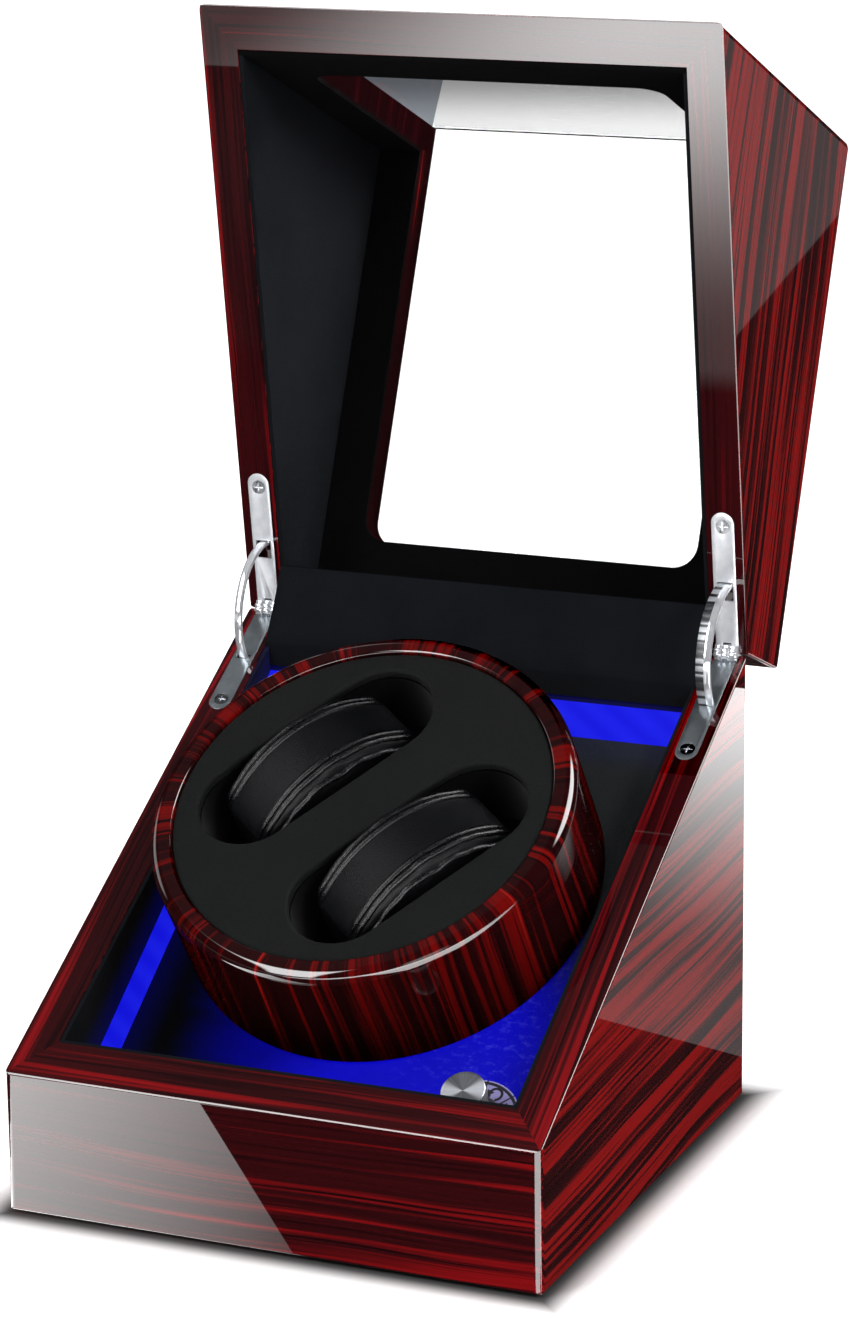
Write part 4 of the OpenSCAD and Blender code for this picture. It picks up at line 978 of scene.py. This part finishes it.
def make_cushion(side, label):
    """Stuffed arched pad, swelled by cloth pressure, with three rows of piping along each long edge."""
    node = "cushion_" + label
    tucked, voxel, most_swell = (0.95, 0.90, 0.93, 1), 2.4 * mm, 2.6 * mm
    rows, end_gap, welt = (1.7 * mm, 4.1 * mm, 6.5 * mm), 1.5 * mm, 1.15 * mm
    place = cup_place(side, deck)
    pad = linked("pad", mesh_from(shell_of(node), "pad"))
    pad.data.transform(place.inverted())
    low = Vector([min(v.co[i] for v in pad.data.vertices) for i in range(3)])
    high = Vector([max(v.co[i] for v in pad.data.vertices) for i in range(3)])
    middle = (low + high) / 2
    pad.data.transform(Matrix.Translation(middle) @ Matrix.Diagonal(tucked) @ Matrix.Translation(-middle))
    remesh = pad.modifiers.new("voxels", "REMESH")
    remesh.mode, remesh.voxel_size, remesh.use_smooth_shade = "VOXEL", voxel, True
    swelled = evaluated(pad)
    bpy.data.objects.remove(pad)
    piece = add_piece(node + "_pad", swelled, "leather", node, [node], smooth=0)
    swell(piece, [v.co.copy() for v in swelled.vertices], most_swell)
    finer = piece.modifiers.new("finer", "SUBSURF")
    finer.levels = finer.render_levels = 1
    fine = evaluated(piece)
    piece.modifiers.clear()
    piece.data = fine
    # the pad stays within the room its solid holds
    for vertex in fine.vertices:
        vertex.co = Vector([max(low[i], min(high[i], vertex.co[i])) for i in range(3)])
    surface = BVHTree.FromPolygons([v.co for v in fine.vertices], [p.vertices for p in fine.polygons])
    piping = bmesh.new()
    steps = 60
    reach = (high.x - low.x) / 2 - end_gap
    for edge in (-1, 1):
        for inset in rows:
            y = edge * ((high.y - low.y) / 2 - inset)
            line = []
            for i in range(steps + 1):
                x = -reach + 2 * reach * i / steps
                point, normal, _, _ = surface.ray_cast(Vector((x, y, high.z + 20 * mm)), Vector((0, 0, -1)))
                if point:
                    line.append((point, normal))
            add_welt(piping, line, welt)
    mesh = mesh_from(piping, node + "_piping")
    for made in (fine, mesh):
        made.transform(place)
        made.update()
    add_piece(node + "_piping", mesh, "piping", node, smooth=0)


def add_welt(shell, line, radius, sides=8):
    """A round cord of leather laid along a line of (point, normal), thinner at its ends."""
    rings = []
    for i, (point, normal) in enumerate(line):
        ahead = (line[min(i + 1, len(line) - 1)][0] - line[max(i - 1, 0)][0]).normalized()
        up = (normal - ahead * normal.dot(ahead)).normalized()
        across = ahead.cross(up)
        from_end = min(i, len(line) - 1 - i)
        size = radius * min(1.0, 0.35 + 0.25 * from_end)
        rounds = [across * cos(2 * pi * k / sides) + up * sin(2 * pi * k / sides) for k in range(sides)]
        rings.append([shell.verts.new(point + size * way) for way in rounds])
    for first, second in zip(rings, rings[1:]):
        for k in range(sides):
            m = (k + 1) % sides
            shell.faces.new((first[k], first[m], second[m], second[k]))
    shell.faces.new(rings[0][::-1])
    shell.faces.new(rings[-1])


# ---------------------------------------------------------------- knob and small hardware
def make_knob():
    """Turned knob: a flange at its foot, a straight neck and a wider head with a dished top."""
    foot, neck, head, top = 2.2 * mm, 6.25 * mm, 7.25 * mm, 16.0 * mm
    under_head, over_head, dish = 0.35 * mm, 0.5 * mm, 0.2 * mm
    profile = [(0.0, foot), (8.0 * mm, 1.2 * mm), (8.35 * mm, 1.5 * mm), (8.1 * mm, 1.9 * mm),
               (6.65 * mm, foot), (6.45 * mm, 3.0 * mm), (neck, 6.0 * mm), (neck, 12.6 * mm),
               (7.0 * mm, 12.9 * mm)]
    profile += arc(head - under_head, 12.9 * mm + under_head, under_head, -80, 0, 3)
    profile += arc(head - over_head, top - over_head, over_head, 0, 80, 4)
    profile += [(head - 1.1 * mm, top), (3.2 * mm, top - 0.14 * mm),
                (0.4 * mm, top - dish), (0.0, top - dish)]
    place = deck @ Matrix.Translation((knob_x, knob_y, 0))
    mesh = turned("mode_knob_turned", profile, place, 96, closed=False)
    add_piece("mode_knob_turned", mesh, "spun_aluminium", "knob", ["mode_knob"], smooth=35)


# ---------------------------------------------------------------- hinges
def softened(node, body, slot, width, change):
    """A carried-over metal part, changed as change says, with its edges broken as stamped parts have."""
    shell = shell_of(node)
    flatten(shell, 2)
    change(shell)
    piece = add_piece(node + "_eased", mesh_from(shell, node + "_eased"), slot, body, [node])
    bevel = piece.modifiers.new("ease", "BEVEL")
    bevel.width, bevel.segments, bevel.limit_method, bevel.angle_limit = width, 2, "ANGLE", radians(28)
    bevel.use_clamp_overlap, bevel.harden_normals = True, False
    eased = evaluated(piece)
    piece.modifiers.clear()
    piece.data = eased
    eased.polygons.foreach_set("use_smooth", [True] * len(eased.polygons))
    eased.set_sharp_from_angle(angle=radians(32))
    return piece


def flute(shell):
    """Grooves pressed along the barrel of a knuckle."""
    pitch, half_groove, depth = 40, 8, 0.16
    for vertex in shell.verts:
        y, z = vertex.co.y - hinge_y, vertex.co.z - hinge_z
        if abs(hypot(y, z) - knuckle_r) < 0.05 * mm:
            turn = (degrees(atan2(z, y)) - 8) % pitch
            sunk = 1 - (depth if turn < half_groove or turn > pitch - half_groove else 0.0)
            vertex.co.y, vertex.co.z = hinge_y + y * sunk, hinge_z + z * sunk


rib_edge = hinge_x + 0.4 * mm


def slim(shell):
    """The left stay is a plain narrow blade; the right one is parted where its ribbed half ends."""
    for vertex in shell.verts:
        if vertex.co.x < 0:
            vertex.co.x = -hinge_x + (vertex.co.x + hinge_x) * 0.5
    bmesh.ops.bisect_plane(shell, geom=shell.verts[:] + shell.edges[:] + shell.faces[:],
                           plane_co=(rib_edge, 0, 0), plane_no=(1, 0, 0), dist=1e-6)


def on_barrel(point):
    """True on the knuckles, which lie round the hinge's pin."""
    return hypot(point.y - hinge_y, point.z - hinge_z) < knuckle_r + 0.2 * mm


def off_barrel(point):
    return not on_barrel(point)


def on_ribs(point):
    return 0 < point.x < rib_edge


def make_hinges():
    """Each hinge part has a second finish where its own rule says."""
    for node, body, width, change, main, second, rule in (
            ("hinge_base_leaves", "base", 0.25 * mm, flute, "satin_leaf", "chrome", on_barrel),
            ("hinge_lid_leaves", "lid", 0.25 * mm, flute, "chrome", "bright_leaf", off_barrel),
            ("hinge_stays", "base", 0.2 * mm, slim, "chrome", "ribbed_steel", on_ribs)):
        mesh = softened(node, body, "chrome", width, change).data
        mesh.materials[0] = finishes[main]
        mesh.materials.append(finishes[second])
        for polygon in mesh.polygons:
            polygon.material_index = 1 if rule(polygon.center) else 0


def make_hinge_cover():
    """Lining cloth that hangs across the hinge, from the lid's rear rim to the base's rear lining."""
    half, thick, proud = 79.2 * mm, 0.3 * mm, 0.2 * mm
    path = [Vector((0, y * mm, z * mm))
            for y, z in ((78.2, 141.0), (78.2, 145.5), (78.3, 149.0), (79.2, 151.2),
                         (83.0, 157.4), (87.0, 164.6), (90.4, 171.6), (91.2, 173.4))]
    rows, columns = 28, 60
    vertices, faces = [], []
    for layer in (0.0, -thick):
        for i in range(rows + 1):
            place = (len(path) - 1) * i / rows
            k = min(int(place), len(path) - 2)
            run = path[k + 1] - path[k]
            out = Vector((0, -run.z, run.y)).normalized()
            for j in range(columns + 1):
                x = -half + 2 * half * j / columns
                folds = 0.25 * mm * sin(x * 210) + 0.12 * mm * sin(x * 470 + 3 * i / rows)
                pucker = folds * sin(pi * i / rows) ** 2
                point = path[k] + run * (place - k) + out * (proud + pucker + layer)
                vertices.append((x, point.y, point.z))
    size = (rows + 1) * (columns + 1)
    for i in range(rows):
        for j in range(columns):
            a = i * (columns + 1) + j
            b, c, d = a + 1, a + columns + 2, a + columns + 1
            faces += [(a, b, c, d), (size + a, size + d, size + c, size + b)]
    mesh = bpy.data.meshes.new("hinge_cover")
    mesh.from_pydata(vertices, [], faces)
    cover = add_piece("hinge_cover", mesh, "black_lining", None, smooth=0)
    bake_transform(cover)


def dress_nodes():
    """Every carried-over part gets the finish of its material slot, apart from those named here."""
    own_finish = {"cup_left": "cup_lining", "cup_right": "cup_lining", "deck_panel": "deck_velvet",
                  "base_liner_left": "strip_side_lining", "base_liner_rear": "strip_side_lining",
                  "lid_liner_front": "painted_shade_lining", "lid_liner_top": "painted_shade_lining"}
    lit = ("deck_panel", "light_strip_left", "light_strip_rear")
    hidden = ("dial_plate", "deck_rails", "led_boards", "bottom_cover", "control_board", "motor",
              "motor_bracket", "drive_belt", "drive_wheel", "mode_switch", "bearing_tube",
              "mechanism_screws", "cover_screws")
    for name in lit + hidden:
        nodes[name].visible_glossy = False
    for name in lit:
        nodes[name].visible_diffuse = False
    for name, node in nodes.items():
        slot = own_finish.get(name, node.material_slots[0].material.name.split(".")[0])
        for held in node.material_slots:
            held.material = finishes[slot]


dress_nodes()
make_base_case()
make_lid_case()
make_drum_ring()
make_drum_face()
make_cushion(1, "left")
make_cushion(-1, "right")
make_knob()
make_hinge_cover()
make_hinges()
